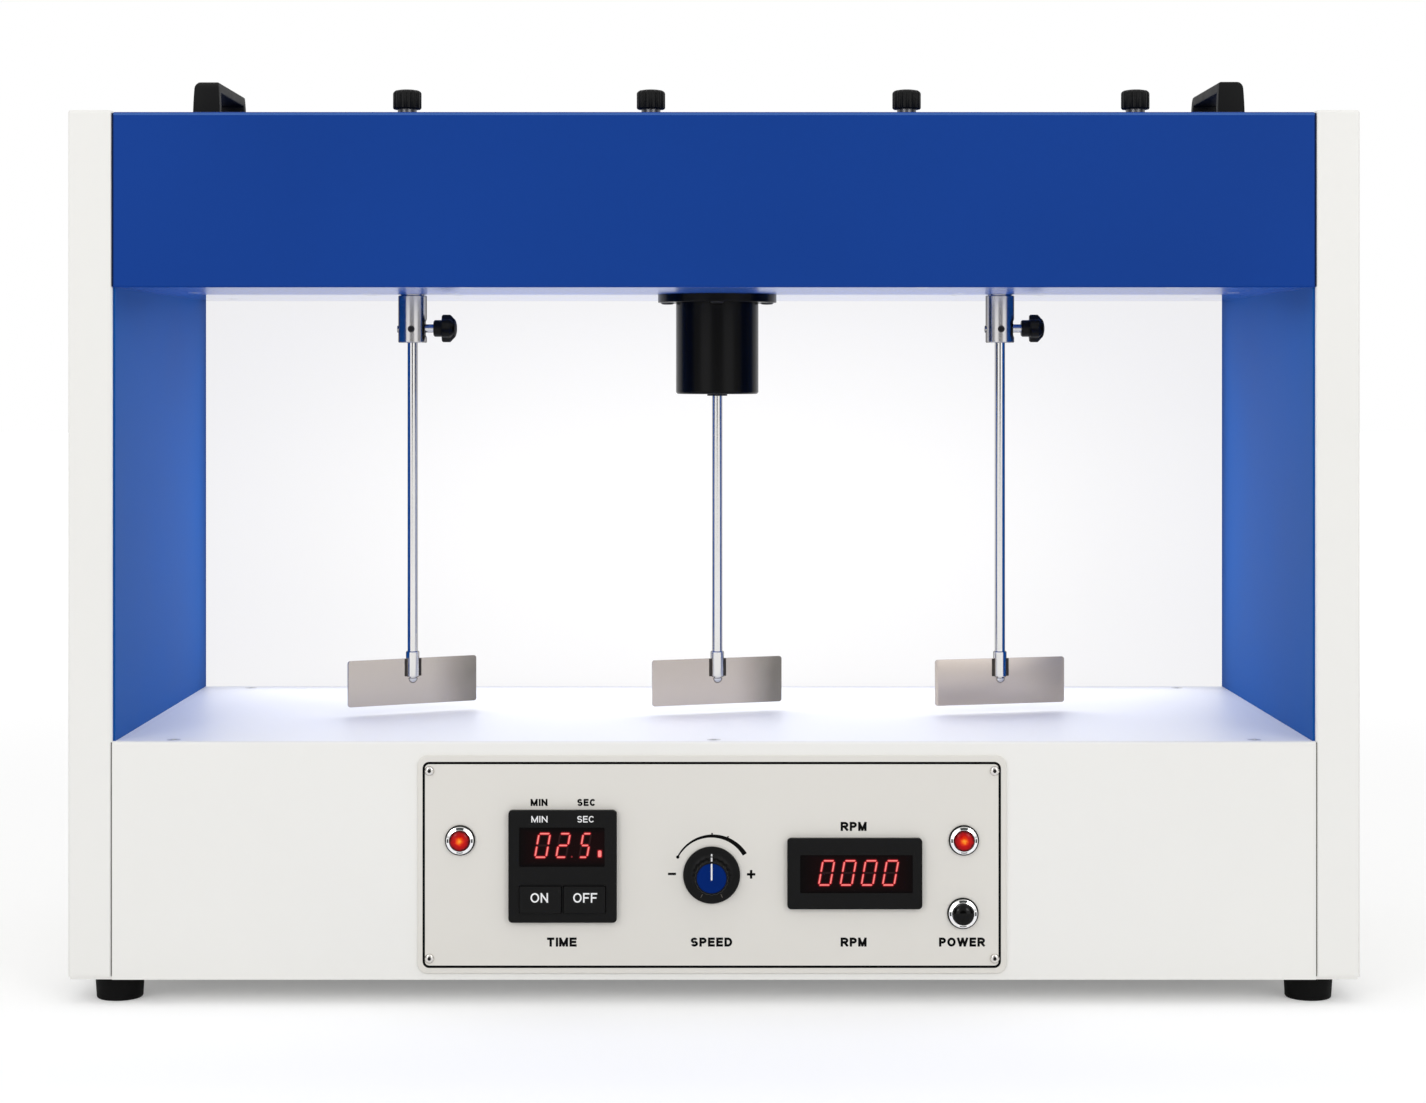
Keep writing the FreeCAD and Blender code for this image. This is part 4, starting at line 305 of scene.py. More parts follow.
@dataclass(frozen=True)
class PaintedSheet(Finish):
    """Coated sheet metal: a slightly cloudy colour over the fine relief that sprayed coats have."""

    colour: Colour
    roughness: float = 0.4
    shine: float = 0.5
    coat: float = 0.0
    coat_roughness: float = 0.06
    cloud: float = 0.02
    cloud_size: float = 120.0
    uneven: float = 0.12
    relief: float = 0.004
    relief_size: float = 1.6

    def shade(self, sheet: NodeSheet) -> Channel:
        """Builds the coat.

        Args:
            sheet: the new material's sheet.

        Returns:
            The shader.
        """
        cloud = sheet.noise(self.cloud_size) - 0.5
        return sheet.surface(
            Base_Color=sheet.tinted(self.colour, 1 + cloud * (2 * self.cloud)),
            Roughness=self.roughness + cloud * self.uneven,
            Specular_IOR_Level=self.shine,
            Coat_Weight=self.coat,
            Coat_Roughness=self.coat_roughness,
            Normal=sheet.bump(sheet.noise(self.relief_size), self.relief),
        )


@dataclass(frozen=True)
class RubbedUnderside(PaintedSheet):
    """The head's underside: satin near the front fold, polished to a mirror towards the light box."""

    satin_until: float = -24.0
    mirror_from: float = 2.0
    mirror: float = 0.03

    def shade(self, sheet: NodeSheet) -> Channel:
        """Builds the coat.

        Args:
            sheet: the new material's sheet.

        Returns:
            The shader.
        """
        ends = self.satin_until * MM, self.mirror_from * MM
        return sheet.surface(
            Base_Color=sheet.tinted(self.colour, 0.97 + sheet.noise(self.cloud_size) * 0.06),
            Roughness=sheet.place("Y").eased(*ends, self.roughness, self.mirror),
            Specular_IOR_Level=self.shine,
        )


@dataclass(frozen=True)
class Metal(Finish):
    """Bare metal with a drawn, turned or even grain."""

    colour: Colour
    roughness: float = 0.25
    grain: Grain = Grain.EVEN
    grain_size: float = 0.5
    relief: float = 0.002
    streak: float = 0.08
    uneven: float = 0.12
    rim: float = 1.0

    def shade(self, sheet: NodeSheet) -> Channel:
        """Builds the metal.

        Args:
            sheet: the new material's sheet.

        Returns:
            The shader.
        """
        lines = sheet.noise(self.grain_size, self.grain, 3.0)
        return sheet.surface(
            Base_Color=sheet.tinted(self.colour, 1 + (lines - 0.5) * self.streak),
            Metallic=1.0,
            Specular_Tint=(self.rim, self.rim, self.rim),
            Roughness=self.roughness + (lines - 0.5) * self.uneven,
            Normal=sheet.bump(lines, self.relief),
        )


@dataclass(frozen=True)
class BladeSteel(Finish):
    """Satin sheet steel of a stirring blade, with painted reflection and shade: its colour darkens towards
    one of its ends.
    """

    centre: float
    dark: Colour
    light: Colour
    roughness: float = 0.24
    fade: Point = (6.0, 36.0)

    def shade(self, sheet: NodeSheet) -> Channel:
        """Builds the blade's steel.

        Args:
            sheet: the new material's sheet.

        Returns:
            The shader.
        """
        along = sheet.place("X") - self.centre * MM
        lines = sheet.noise(0.6, Grain.ALONG_X, 3.0)
        cloud = sheet.noise(18.0)
        # Painted reflection and shade: along the blade the colour turns from the light one to the dark one.
        shaded = along.eased(self.fade[0] * MM, self.fade[1] * MM) * (0.75 + cloud * 0.5)
        return sheet.surface(
            Base_Color=sheet.tinted(sheet.mix(shaded, self.light, self.dark), 0.98 + lines * 0.04),
            Metallic=1.0,
            Roughness=self.roughness + (lines - 0.5) * 0.1,
            Normal=sheet.bump(lines, 0.002),
        )


@dataclass(frozen=True)
class Moulded(Finish):
    """Moulded plastic or rubber with a fine sparked skin."""

    colour: Colour
    roughness: float = 0.42
    shine: float = 0.5
    relief: float = 0.01
    relief_size: float = 0.35
    cloud: float = 0.3
    cloud_size: float = 14.0
    uneven: float = 0.16

    def shade(self, sheet: NodeSheet) -> Channel:
        """Builds the moulded skin.

        Args:
            sheet: the new material's sheet.

        Returns:
            The shader.
        """
        cloud = sheet.noise(self.cloud_size)
        return sheet.surface(
            Base_Color=sheet.tinted(self.colour, 1 - self.cloud / 2 + cloud * self.cloud),
            Roughness=self.roughness + (cloud - 0.5) * self.uneven,
            Specular_IOR_Level=self.shine,
            Normal=sheet.bump(sheet.noise(self.relief_size, detail=3.0), self.relief),
        )


@dataclass(frozen=True)
class OpalGlow(Finish):
    """The opal panel at the back, lit from behind: brightest at its middle."""

    middle: float = 252.0
    half: Point = (300.0, 135.0)
    core: Colour = paint(255, 254, 252)
    rim: Colour = paint(242, 241, 240)
    base: Colour = (0.12, 0.12, 0.12)
    strength: float = 0.94

    def shade(self, sheet: NodeSheet) -> Channel:
        """Builds the glowing panel.

        Args:
            sheet: the new material's sheet.

        Returns:
            The shader.
        """
        across = sheet.place("X") / (self.half[0] * MM)
        up = (sheet.place("Z") - self.middle * MM) / (self.half[1] * MM)
        return sheet.surface(
            Base_Color=self.base,
            Roughness=0.45 + sheet.noise(3.0) * 0.1,
            Specular_IOR_Level=0.2,
            Emission_Color=sheet.mix(across.away(up).eased(0.1, 1.25), self.core, self.rim),
            Emission_Strength=self.strength,
        )


@dataclass(frozen=True)
class SmokedWindow(Finish):
    """A dark filter window with a faint red haze round its lit figures."""

    middle: Point
    half: Point
    smoke: Colour = (0.0016, 0.0011, 0.0012)
    haze: Colour = (0.006, 0.0003, 0.0005)
    dark: Colour = (0.0004, 0.0002, 0.0002)

    def shade(self, sheet: NodeSheet) -> Channel:
        """Builds the window.

        Args:
            sheet: the new material's sheet.

        Returns:
            The shader.
        """
        across = abs(sheet.place("X") - self.middle[0] * MM) / (self.half[0] * MM)
        up = abs(sheet.place("Z") - self.middle[1] * MM) / (self.half[1] * MM)
        near = across.above(up).eased(0.75, 1.35, 1.0, 0.0)
        return sheet.surface(
            Base_Color=self.smoke,
            Roughness=0.16 + sheet.noise(6.0) * 0.06,
            Specular_IOR_Level=0.04,
            Emission_Color=sheet.mix(near, self.dark, self.haze),
            Emission_Strength=1.0,
        )


@dataclass(frozen=True)
class LampGlass(Finish):
    """Red lamp glass with a glowing core. One material serves a pair of lamps."""

    middle: Point
    spacing: float
    radius: float = 5.2
    base: Colour = paint(70, 2, 4)
    stops: tuple[tuple[float, Colour], ...] = (
        (0.0, paint(255, 170, 52)),
        (0.18, paint(255, 124, 24)),
        (0.34, paint(226, 58, 12)),
        (0.5, paint(192, 12, 8)),
        (0.78, paint(156, 2, 8)),
        (0.92, paint(48, 0, 3)),
    )

    def shade(self, sheet: NodeSheet) -> Channel:
        """Builds the lamp glass.

        Args:
            sheet: the new material's sheet.

        Returns:
            The shader.
        """
        across = abs(sheet.place("X") - self.middle[0] * MM) - self.spacing / 2 * MM
        away = across.away(sheet.place("Z") - self.middle[1] * MM) / (self.radius * MM)
        broken = away + (sheet.noise(1.3) - 0.5) * 0.34
        return sheet.surface(
            Base_Color=self.base,
            Roughness=0.1 + sheet.noise(0.9) * 0.1,
            Specular_IOR_Level=0.12,
            Emission_Color=sheet.add("ShaderNodeValToRGB", {"stops": self.stops}, {"Fac": broken}),
            Emission_Strength=0.9,
        )


@dataclass(frozen=True)
class LitBar(Finish):
    """A lit or unlit bar of a figure, or the glow beside it."""

    low: Colour
    high: Colour
    base: Colour = (0.01, 0.001, 0.001)

    def shade(self, sheet: NodeSheet) -> Channel:
        """Builds the light.

        Args:
            sheet: the new material's sheet.

        Returns:
            The shader.
        """
        return sheet.surface(
            Base_Color=self.base,
            Roughness=0.4,
            Specular_IOR_Level=0.1,
            Emission_Color=sheet.mix(sheet.noise(1.1), self.low, self.high),
            Emission_Strength=1.0,
        )


@dataclass(frozen=True)
class PrintedInk(Finish):
    """Screen-printed ink with a slightly uneven cover."""

    colour: Colour

    def shade(self, sheet: NodeSheet) -> Channel:
        """Builds the ink.

        Args:
            sheet: the new material's sheet.

        Returns:
            The shader.
        """
        cover = sheet.noise(0.5, detail=3.0)
        return sheet.surface(
            Base_Color=sheet.tinted(self.colour, 0.9 + cover * 0.2),
            Roughness=0.5 + cover * 0.1,
            Specular_IOR_Level=0.06,
        )


@dataclass(frozen=True)
class CircuitBoard(Finish):
    """Green board lacquer with lighter copper runs under it."""

    lacquer: Colour = paint(20, 84, 50)
    copper: Colour = paint(66, 128, 70)
    pitch: float = 7.0

    def shade(self, sheet: NodeSheet) -> Channel:
        """Builds the board.

        Args:
            sheet: the new material's sheet.

        Returns:
            The shader.
        """
        settings = {"feature": "DISTANCE_TO_EDGE", "distance": "EUCLIDEAN"}
        inputs = {"Vector": sheet.add("ShaderNodeTexCoord", output="Object"), "Scale": 1 / (self.pitch * MM)}
        runs = sheet.add("ShaderNodeTexVoronoi", settings, inputs).eased(0.04, 0.08, 1.0, 0.0)
        return sheet.surface(
            Base_Color=sheet.mix(runs, self.lacquer, self.copper),
            Roughness=0.35 + runs * 0.1,
            Normal=sheet.bump(runs, 0.03),
        )


WHITE_COAT = PaintedSheet("white_powder_coat", paint(239, 238, 234), roughness=0.45, relief=0.006)
DECK_GLOSS = PaintedSheet(
    "deck_gloss_white", paint(252, 247, 231), roughness=0.35, coat=1.0, relief=0.0008, cloud=0.008
)
BLUE_COAT = PaintedSheet(
    "blue_head_coat", paint(11, 60, 143), roughness=0.4, shine=0.1, cloud=0.12, cloud_size=200.0
)
BLUE_LINING = PaintedSheet(
    "blue_lining_coat", paint(16, 78, 152), roughness=0.62, shine=0.05, cloud=0.08, cloud_size=90.0
)
BLUE_UNDERSIDE = RubbedUnderside("blue_underside_gloss", paint(30, 82, 170), roughness=0.24)
# Painted highlight: a lighter blue strip where the head's upper bend catches the light.
FOLD_HIGHLIGHT = PaintedSheet("head_fold_painted_highlight", paint(62, 100, 170), shine=0.1)
PANEL_GREY = PaintedSheet(
    "panel_grey_satin", paint(225, 222, 215), roughness=0.5, shine=0.35, relief=0.003, relief_size=0.7
)
MOTOR_BLACK = PaintedSheet(
    "motor_black_lacquer", (0.0008, 0.0008, 0.0009), roughness=0.24, shine=0.12, relief=0.0004, cloud=0.2
)
PLATED_SCREW = Metal("plated_screw_steel", paint(226, 226, 224), roughness=0.5)
NICKEL_SCREW = Metal("nickel_panel_screw", paint(214, 211, 206), roughness=0.2)
BLACK_SCREW = Metal("black_oxide_screw", paint(58, 58, 60), roughness=0.36)
COLLAR_STEEL = Metal("knob_collar_steel", paint(100, 100, 102), roughness=0.3)
STEEL_TURNED = Metal(
    "turned_spindle_steel", paint(188, 186, 185), roughness=0.2, grain=Grain.ROUND_Z, grain_size=0.4, rim=0.1
)
STEEL_ROD = Metal(
    "bright_rod_steel",
    paint(208, 207, 206),
    roughness=0.11,
    grain=Grain.ALONG_Z,
    grain_size=0.4,
    streak=0.04,
    rim=0.02,
)
STEEL_STUD = Metal("bright_stud_steel", paint(196, 196, 198), roughness=0.2, rim=0.1)
CHROME = Metal("bright_chrome", paint(244, 244, 244), roughness=0.12, relief=0.0005, streak=0.03)
ALUMINIUM = Metal("cast_aluminium", paint(176, 177, 178), roughness=0.5, grain_size=0.9, relief=0.02)
BEARING_STEEL = Metal("bearing_ring_steel", paint(196, 196, 194), roughness=0.22)
IRON = Metal("laminated_iron", paint(104, 102, 100), roughness=0.5, grain=Grain.ROUND_Z, relief=0.02)
ZINC_CASE = Metal("zinc_plated_case", paint(186, 188, 186), roughness=0.42, grain_size=6.0, streak=0.2)
# Each blade's dark and light colours are the two ends of a painted reflection and shade.
LEFT_BLADE = BladeSteel("left_blade_steel", AXES["left"], paint(125, 120, 115), paint(184, 176, 170))
CENTRE_BLADE = BladeSteel("centre_blade_steel", AXES["centre"], paint(110, 106, 102), paint(172, 164, 159))
RIGHT_BLADE = BladeSteel("right_blade_steel", AXES["right"], paint(167, 157, 147), paint(183, 173, 165), 0.34)
BLACK_PLASTIC = Moulded("black_moulded_plastic", paint(18, 18, 18), roughness=0.45, shine=0.2)
HANDLE_PLASTIC = Moulded("handle_black_plastic", paint(19, 19, 18), roughness=0.58, shine=0.12, relief=0.006)
BEZEL_PLASTIC = Moulded("bezel_black_plastic", paint(13, 13, 13), roughness=0.5, shine=0.12, relief=0.004)
KEY_PLASTIC = Moulded("key_black_plastic", paint(14, 14, 14), roughness=0.45, shine=0.12, relief=0.004)
KNOB_PLASTIC = Moulded("knob_black_plastic", paint(10, 10, 10), roughness=0.45, shine=0.14, relief=0.004)
BUTTON_GLOSS = Moulded("button_black_gloss", (0.0004, 0.0004, 0.0004), roughness=0.05, shine=0.16, relief=0.0)
CAP_BLUE = Moulded("dial_cap_blue", paint(2, 36, 106), roughness=0.5, shine=0.03, relief=0.003)
FOOT_RUBBER = Moulded("foot_black_rubber", paint(9, 9, 9), roughness=0.7, shine=0.1, relief=0.02)
# Partly painted shade: the dark seal also stands for the shade round each chrome ring's edge.
SEAL_AND_EDGE_SHADE = Moulded("seal_rubber_and_edge_shade", paint(20, 22, 20), roughness=0.6, shine=0.2)
BELT_RUBBER = Moulded("drive_belt_rubber", paint(26, 25, 25), roughness=0.8, relief=0.05)
# Painted shade: the dark marks for the chrome rings' slots.
SLOT_SHADE = Moulded("ring_slot_shade", paint(58, 62, 60), roughness=0.5, shine=0.2, relief=0.001)
# Painted shade: the dark strips where the cheeks meet the base and the head.
BASE_SEAM = Moulded("base_seam_shade", paint(100, 98, 95), roughness=0.7, shine=0.1, relief=0.002)
HEAD_SEAM = Moulded("head_seam_shade", paint(14, 27, 60), roughness=0.7, shine=0.1, relief=0.002)
# Painted shade: the dark plates in screw recesses and grub screw sockets.
RECESS_SHADE = Moulded("screw_recess_shade", paint(26, 25, 24), roughness=0.6, shine=0.15, relief=0.002)
# Painted shadow and reflection of the sleeves on the blades.
SLEEVE_SHADE = Moulded("sleeve_shadow_and_reflection", paint(56, 51, 48), roughness=0.6, shine=0.2, relief=0.002)
OPAL = OpalGlow("opal_panel_glow")
LIGHT_STRIP = LitBar("light_strip_diodes", paint(240, 242, 248), paint(255, 255, 255))
TIMER_GLASS = SmokedWindow("timer_smoked_window", (-75.0, 80.6), (19.0, 7.4))
SPEED_GLASS = SmokedWindow("speed_smoked_window", (73.5, 67.4), (22.5, 7.8))
LAMP_GLASS = LampGlass("red_lamp_glass", (-1.05, 83.8), 256.5)
BAR_LIT = LitBar("figure_bar_lit", paint(255, 120, 120), paint(255, 156, 148))
BAR_GLOW = LitBar("figure_bar_glow", paint(206, 20, 34), paint(228, 34, 44))
BAR_HALO = LitBar("figure_bar_halo", paint(50, 3, 8), paint(66, 5, 10))
BAR_FAINT = LitBar("figure_bar_faint", paint(112, 30, 34), paint(132, 36, 40))
BAR_DARK = LitBar("figure_bar_dark", paint(20, 8, 10), paint(28, 12, 14))
BLACK_INK = PrintedInk("black_panel_ink", paint(5, 5, 5))
WHITE_INK = PrintedInk("white_bezel_ink", paint(240, 240, 240))
TICK_INK = PrintedInk("grey_tick_ink", paint(110, 104, 96))
BOARD = CircuitBoard("green_circuit_board")


# ---------------------------------------------------------------------- shapes


class Shape:
    """A shape under construction, in millimetres, that ends as one piece."""

    def __init__(self) -> None:
        """Starts empty."""
        self.mesh = bmesh.new()

    def spin(self, ends: list, angle: float, steps: int) -> None:
        """Sweeps points and edges round the z axis. A full turn closes on itself."""
        full = math.isclose(abs(angle), math.tau)
        bmesh.ops.spin(self.mesh, geom=ends, axis=(0, 0, 1), angle=angle, steps=steps, use_merge=full)

    def turn(self, outline: Sequence[Point], steps: int = 48) -> Shape:
        """Turns an outline round the z axis.

        Args:
            outline: its points as radius and height, from the top down.
            steps: how many sides the turned shape has.

        Returns:
            The shape.
        """
        points = [self.mesh.verts.new((radius, 0, height)) for radius, height in outline]
        edges = [self.mesh.edges.new(pair) for pair in zip(points, points[1:])]
        self.spin(points + edges, math.tau, steps)
        bmesh.ops.remove_doubles(self.mesh, verts=self.mesh.verts, dist=0.001)
        return self

    def flute(
        self, count: int, depth: float, span: Point, sharpness: float = 1.0, above: float = -math.inf
    ) -> Shape:
        """Presses grooves into a turned shape.

        Args:
            count: how many grooves go round it.
            depth: how deep they are.
            span: the radii between which they are pressed.
            sharpness: 1 gives a wave, and more gives narrow grooves.
            above: the height above which they are pressed.

        Returns:
            The shape.
        """
        for vertex in self.mesh.verts:
            radius = math.hypot(vertex.co.x, vertex.co.y)
            if span[0] < radius < span[1] and vertex.co.z > above:
                wave = 0.5 - 0.5 * math.cos(count * math.atan2(vertex.co.y, vertex.co.x))
                reach = 1 - depth / radius * wave**sharpness
                vertex.co.x *= reach
                vertex.co.y *= reach
        return self

    def bevel(self, parts: list, radius: float, steps: int, affect: str) -> None:
        """Cuts (one step) or rounds (more steps) corners, or edges without overlap."""
        sizes = {"offset": radius, "segments": steps, "profile": 0.5, "clamp_overlap": affect == "EDGES"}
        bmesh.ops.bevel(self.mesh, geom=parts, offset_type="OFFSET", affect=affect, material=-1, **sizes)

    def plate(self, width: float, height: float, radius: float, thick: float, steps: int = 5) -> Shape:
        """Makes a thin plate with cut or round corners, its back on the ground plane.

        Args:
            width: its size along x.
            height: its size along y.
            radius: the size of its corners.
            thick: its thickness, upwards.
            steps: 1 cuts the corners straight, and more rounds them.

        Returns:
            The shape.
        """
        made = bmesh.ops.create_grid(self.mesh, x_segments=1, y_segments=1, size=0.5)["verts"]
        bmesh.ops.scale(self.mesh, vec=(width, height, 1), verts=made)
        if radius:
            self.bevel(made, radius, steps, "VERTICES")
        return self.thicken(thick)

    def bar(self, start: Vector, end: Vector, wide: float) -> Shape:
        """Lays a flat bar between two points, squared half its width past both."""
        run = end - start
        turn = Matrix.Rotation(math.atan2(run.y, run.x), 4, "Z")
        return self.plate(run.length + wide, wide, 0, 0).move(Matrix.Translation((start + end) / 2) @ turn)

    def curl(self, reach: Point, start: float, sweep: float, wide: float, steps: int = 24) -> Shape:
        """Lays a flat band along part of an ellipse round the origin.

        Args:
            reach: the ellipse's half width and half height, at the band's middle line.
            start: the angle it starts at, in degrees from the right.
            sweep: the angle it turns through, anticlockwise.
            wide: the band's width.
            steps: how many facets it has.

        Returns:
            The shape.
        """
        ends = [self.mesh.verts.new((size, 0, 0)) for size in (1, 2)]
        edge = self.mesh.edges.new(ends)
        bmesh.ops.rotate(self.mesh, verts=ends, matrix=round_z(start).to_3x3())
        self.spin([*ends, edge], math.radians(sweep), steps)
        for vertex in self.mesh.verts:
            outside = vertex.co.length > 1.5
            share, grown = (0.5, wide / 2) if outside else (1.0, -wide / 2)
            vertex.co.x *= (reach[0] + grown) * share
            vertex.co.y *= (reach[1] + grown) * share
        return self

    def cut(self, place: Triple, way: Triple, clear: bool = False) -> Shape:
        """Cuts all faces along a plane.

        Args:
            place: a point of the plane.
            way: the direction that it faces.
            clear: whether what lies ahead of it goes.

        Returns:
            The shape.
        """
        parts = [*self.mesh.verts, *self.mesh.edges, *self.mesh.faces]
        bmesh.ops.bisect_plane(self.mesh, geom=parts, plane_co=place, plane_no=way, clear_outer=clear)
        return self

    def hollow(self, rim: float) -> Shape:
        """Leaves only a rim of this width of every flat face."""
        faces = list(self.mesh.faces)
        bmesh.ops.inset_individual(self.mesh, faces=faces, thickness=rim)
        bmesh.ops.delete(self.mesh, geom=faces, context="FACES")
        return self

    def thicken(self, thick: float) -> Shape:
        """Gives flat faces a thickness upwards, or leaves them flat at 0.

        Args:
            thick: the thickness.

        Returns:
            The shape.
        """
        if thick:
            made = bmesh.ops.extrude_face_region(self.mesh, geom=list(self.mesh.faces), use_keep_orig=True)
            raised = [part for part in made["geom"] if isinstance(part, bmesh.types.BMVert)]
            bmesh.ops.translate(self.mesh, vec=(0, 0, thick), verts=raised)
        return self

    def soften(self, radius: float, steps: int, lies: Callable[[Vector], bool] = anywhere) -> Shape:
        """Rounds the sharp edges.

        Args:
            radius: the size of the rounding.
            steps: how many facets it has.
            lies: tells from an edge's middle whether the edge is rounded.

        Returns:
            The shape.
        """
        bmesh.ops.recalc_face_normals(self.mesh, faces=self.mesh.faces)
        sharp = [
            edge
            for edge in self.mesh.edges
            if edge.is_manifold
            and edge.calc_face_angle() > SHARP_BEND
            and lies((edge.verts[0].co + edge.verts[1].co) / 2)
        ]
        self.bevel(sharp, radius, steps, "EDGES")
        return self

    def move(self, change: Matrix) -> Shape:
        """Moves, turns or shears the whole shape."""
        bmesh.ops.transform(self.mesh, matrix=change, verts=self.mesh.verts)
        return self

    def shift(self, x: float, y: float, z: float = 0.0) -> Shape:
        """Moves the whole shape by these millimetres."""
        return self.move(at(x, y, z))

    def join(self, *others: Shape) -> Shape:
        """Takes in other shapes, which are used up.

        Args:
            others: the other shapes.

        Returns:
            The shape.
        """
        for other in others:
            carrier = bpy.data.meshes.new("carrier")
            other.mesh.to_mesh(carrier)
            other.mesh.free()
            self.mesh.from_mesh(carrier)
            bpy.data.meshes.remove(carrier)
        return self

    def piece(self, name: str, body: str, slot: str, finish: Finish) -> bpy.types.Object:
        """Ends the shape as a dressed piece that rides on a body.

        Args:
            name: the piece's name.
            body: the body that it moves with.
            slot: not used.
            finish: what it is dressed in.

        Returns:
            The new object.
        """
        bmesh.ops.scale(self.mesh, vec=(MM, MM, MM), verts=self.mesh.verts)
        bmesh.ops.recalc_face_normals(self.mesh, faces=self.mesh.faces)
        data = bpy.data.meshes.new(name)
        self.mesh.to_mesh(data)
        self.mesh.free()
        data.polygons.foreach_set("use_smooth", [True] * len(data.polygons))
        data.set_sharp_from_angle(angle=CREASE)
        data.materials.append(finish.material())
        made = bpy.data.objects.new(name, data)
        bpy.context.scene.collection.objects.link(made)
        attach(made, body)
        LOG.info("%s: %d faces, in %s, on %s", name, len(data.polygons), finish.name, body)
        return made


@dataclass(frozen=True)
class Curl:
    """A curved stroke of a letter: part of an ellipse in the letter's own box."""

    middle: Point
    reach: Point
    start: float = 0.0
    sweep: float = 360.0


@dataclass(frozen=True)
class Glyph:
    """A letter's width in cap heights, and its strokes in a box that is 1 wide and 1 high."""

    width: float
    lines: tuple[tuple[Point, Point], ...] = ()
    curls: tuple[Curl, ...] = ()


STEM = ((0.0, 0.0), (0.0, 1.0))
MIDDLE_STEM = ((0.5, 0.0), (0.5, 1.0))
FAR_STEM = ((1.0, 0.0), (1.0, 1.0))
HEAD_BAR = ((0.0, 1.0), (1.0, 1.0))
FOOT_BAR = ((0.0, 0.0), (1.0, 0.0))
BOWL = Curl((0.5, 0.73), (0.5, 0.27), -90.0, 180.0)
BOWL_LINES = (((0.0, 1.0), (0.5, 1.0)), ((0.0, 0.46), (0.5, 0.46)))
W_POINTS = ((0.0, 1.0), (0.25, 0.0), (0.5, 1.0), (0.75, 0.0), (1.0, 1.0))

GLYPHS: dict[str, Glyph] = {
    "C": Glyph(0.9, curls=(Curl((0.52, 0.5), (0.52, 0.5), 38.0, 284.0),)),
    "D": Glyph(
        0.87,
        (STEM, ((0.0, 1.0), (0.42, 1.0)), ((0.0, 0.0), (0.42, 0.0))),
        (Curl((0.42, 0.5), (0.58, 0.5), -90.0, 180.0),),
    ),
    "E": Glyph(0.77, (STEM, HEAD_BAR, FOOT_BAR, ((0.0, 0.52), (0.9, 0.52)))),
    "F": Glyph(0.73, (STEM, HEAD_BAR, ((0.0, 0.5), (0.85, 0.5)))),
    "I": Glyph(0.2, (MIDDLE_STEM,)),
    "M": Glyph(0.96, (STEM, FAR_STEM, ((0.0, 1.0), (0.5, 0.02)), ((0.5, 0.02), (1.0, 1.0)))),
    "N": Glyph(0.83, (STEM, FAR_STEM, ((0.0, 1.0), (1.0, 0.0)))),
    "O": Glyph(0.98, curls=(Curl((0.5, 0.5), (0.5, 0.5)),)),
    "P": Glyph(0.81, (STEM, *BOWL_LINES), (BOWL,)),
    "R": Glyph(0.88, (STEM, *BOWL_LINES, ((0.5, 0.46), (0.98, 0.0))), (BOWL,)),
    "S": Glyph(
        0.82,
        curls=(
            Curl((0.48, 0.745), (0.46, 0.255), 22.0, 248.0),
            Curl((0.51, 0.255), (0.49, 0.26), 90.0, -250.0),
        ),
    ),
    "T": Glyph(0.79, (HEAD_BAR, MIDDLE_STEM)),
    "W": Glyph(1.3, tuple(zip(W_POINTS, W_POINTS[1:]))),
}


@dataclass(frozen=True)
class Legend:
    """A word in plain upright letters, fitted to the real width and height that it has."""

    words: str
    middle: Point
    width: float
    height: float
    weight: float = 0.26
    gap: float = 0.16
    thick: float = 0.05
    step: float = 0.003

    def shape(self) -> Shape:
        """Draws the letters as thin flat solids that look up.

        Returns:
            The word.
        """
        glyphs = [GLYPHS[letter] for letter in self.words]
        pace = self.width / (sum(glyph.width for glyph in glyphs) + self.gap * (len(glyphs) - 1))
        word, left = Shape(), self.middle[0] - self.width / 2
        for glyph in glyphs:
            letter = self.letter(glyph, glyph.width * pace)
            word.join(letter.shift(left, self.middle[1] - self.height / 2))
            left += (glyph.width + self.gap) * pace
        return word

    def letter(self, glyph: Glyph, wide: float) -> Shape:
        """Draws one letter with its lower left corner at the origin.

        Args:
            glyph: the letter's strokes.
            wide: its width in millimetres.

        Returns:
            The letter.
        """
        stroke = self.weight * self.height
        reach = (max(wide - stroke, 0), self.height - stroke)

        def spot(place: Point) -> Vector:
            """Gives the place of a point of the letter's box."""
            return Vector((stroke / 2 + place[0] * reach[0], stroke / 2 + place[1] * reach[1], 0))

        strokes = [Shape().bar(spot(start), spot(end), stroke) for start, end in glyph.lines]
        for curl in glyph.curls:
            size = (curl.reach[0] * reach[0], curl.reach[1] * reach[1])
            band = Shape().curl(size, curl.start, curl.sweep, stroke)
            strokes.append(band.move(Matrix.Translation(spot(curl.middle))))
        letter = Shape().join(*(part.shift(0, 0, self.step * place) for place, part in enumerate(strokes)))
        letter.cut((0, 0, 0), (0, -1, 0), clear=True).cut((0, self.height, 0), (0, 1, 0), clear=True)
        return letter.thicken(self.thick)


# ------------------------------------------------------------------ the object


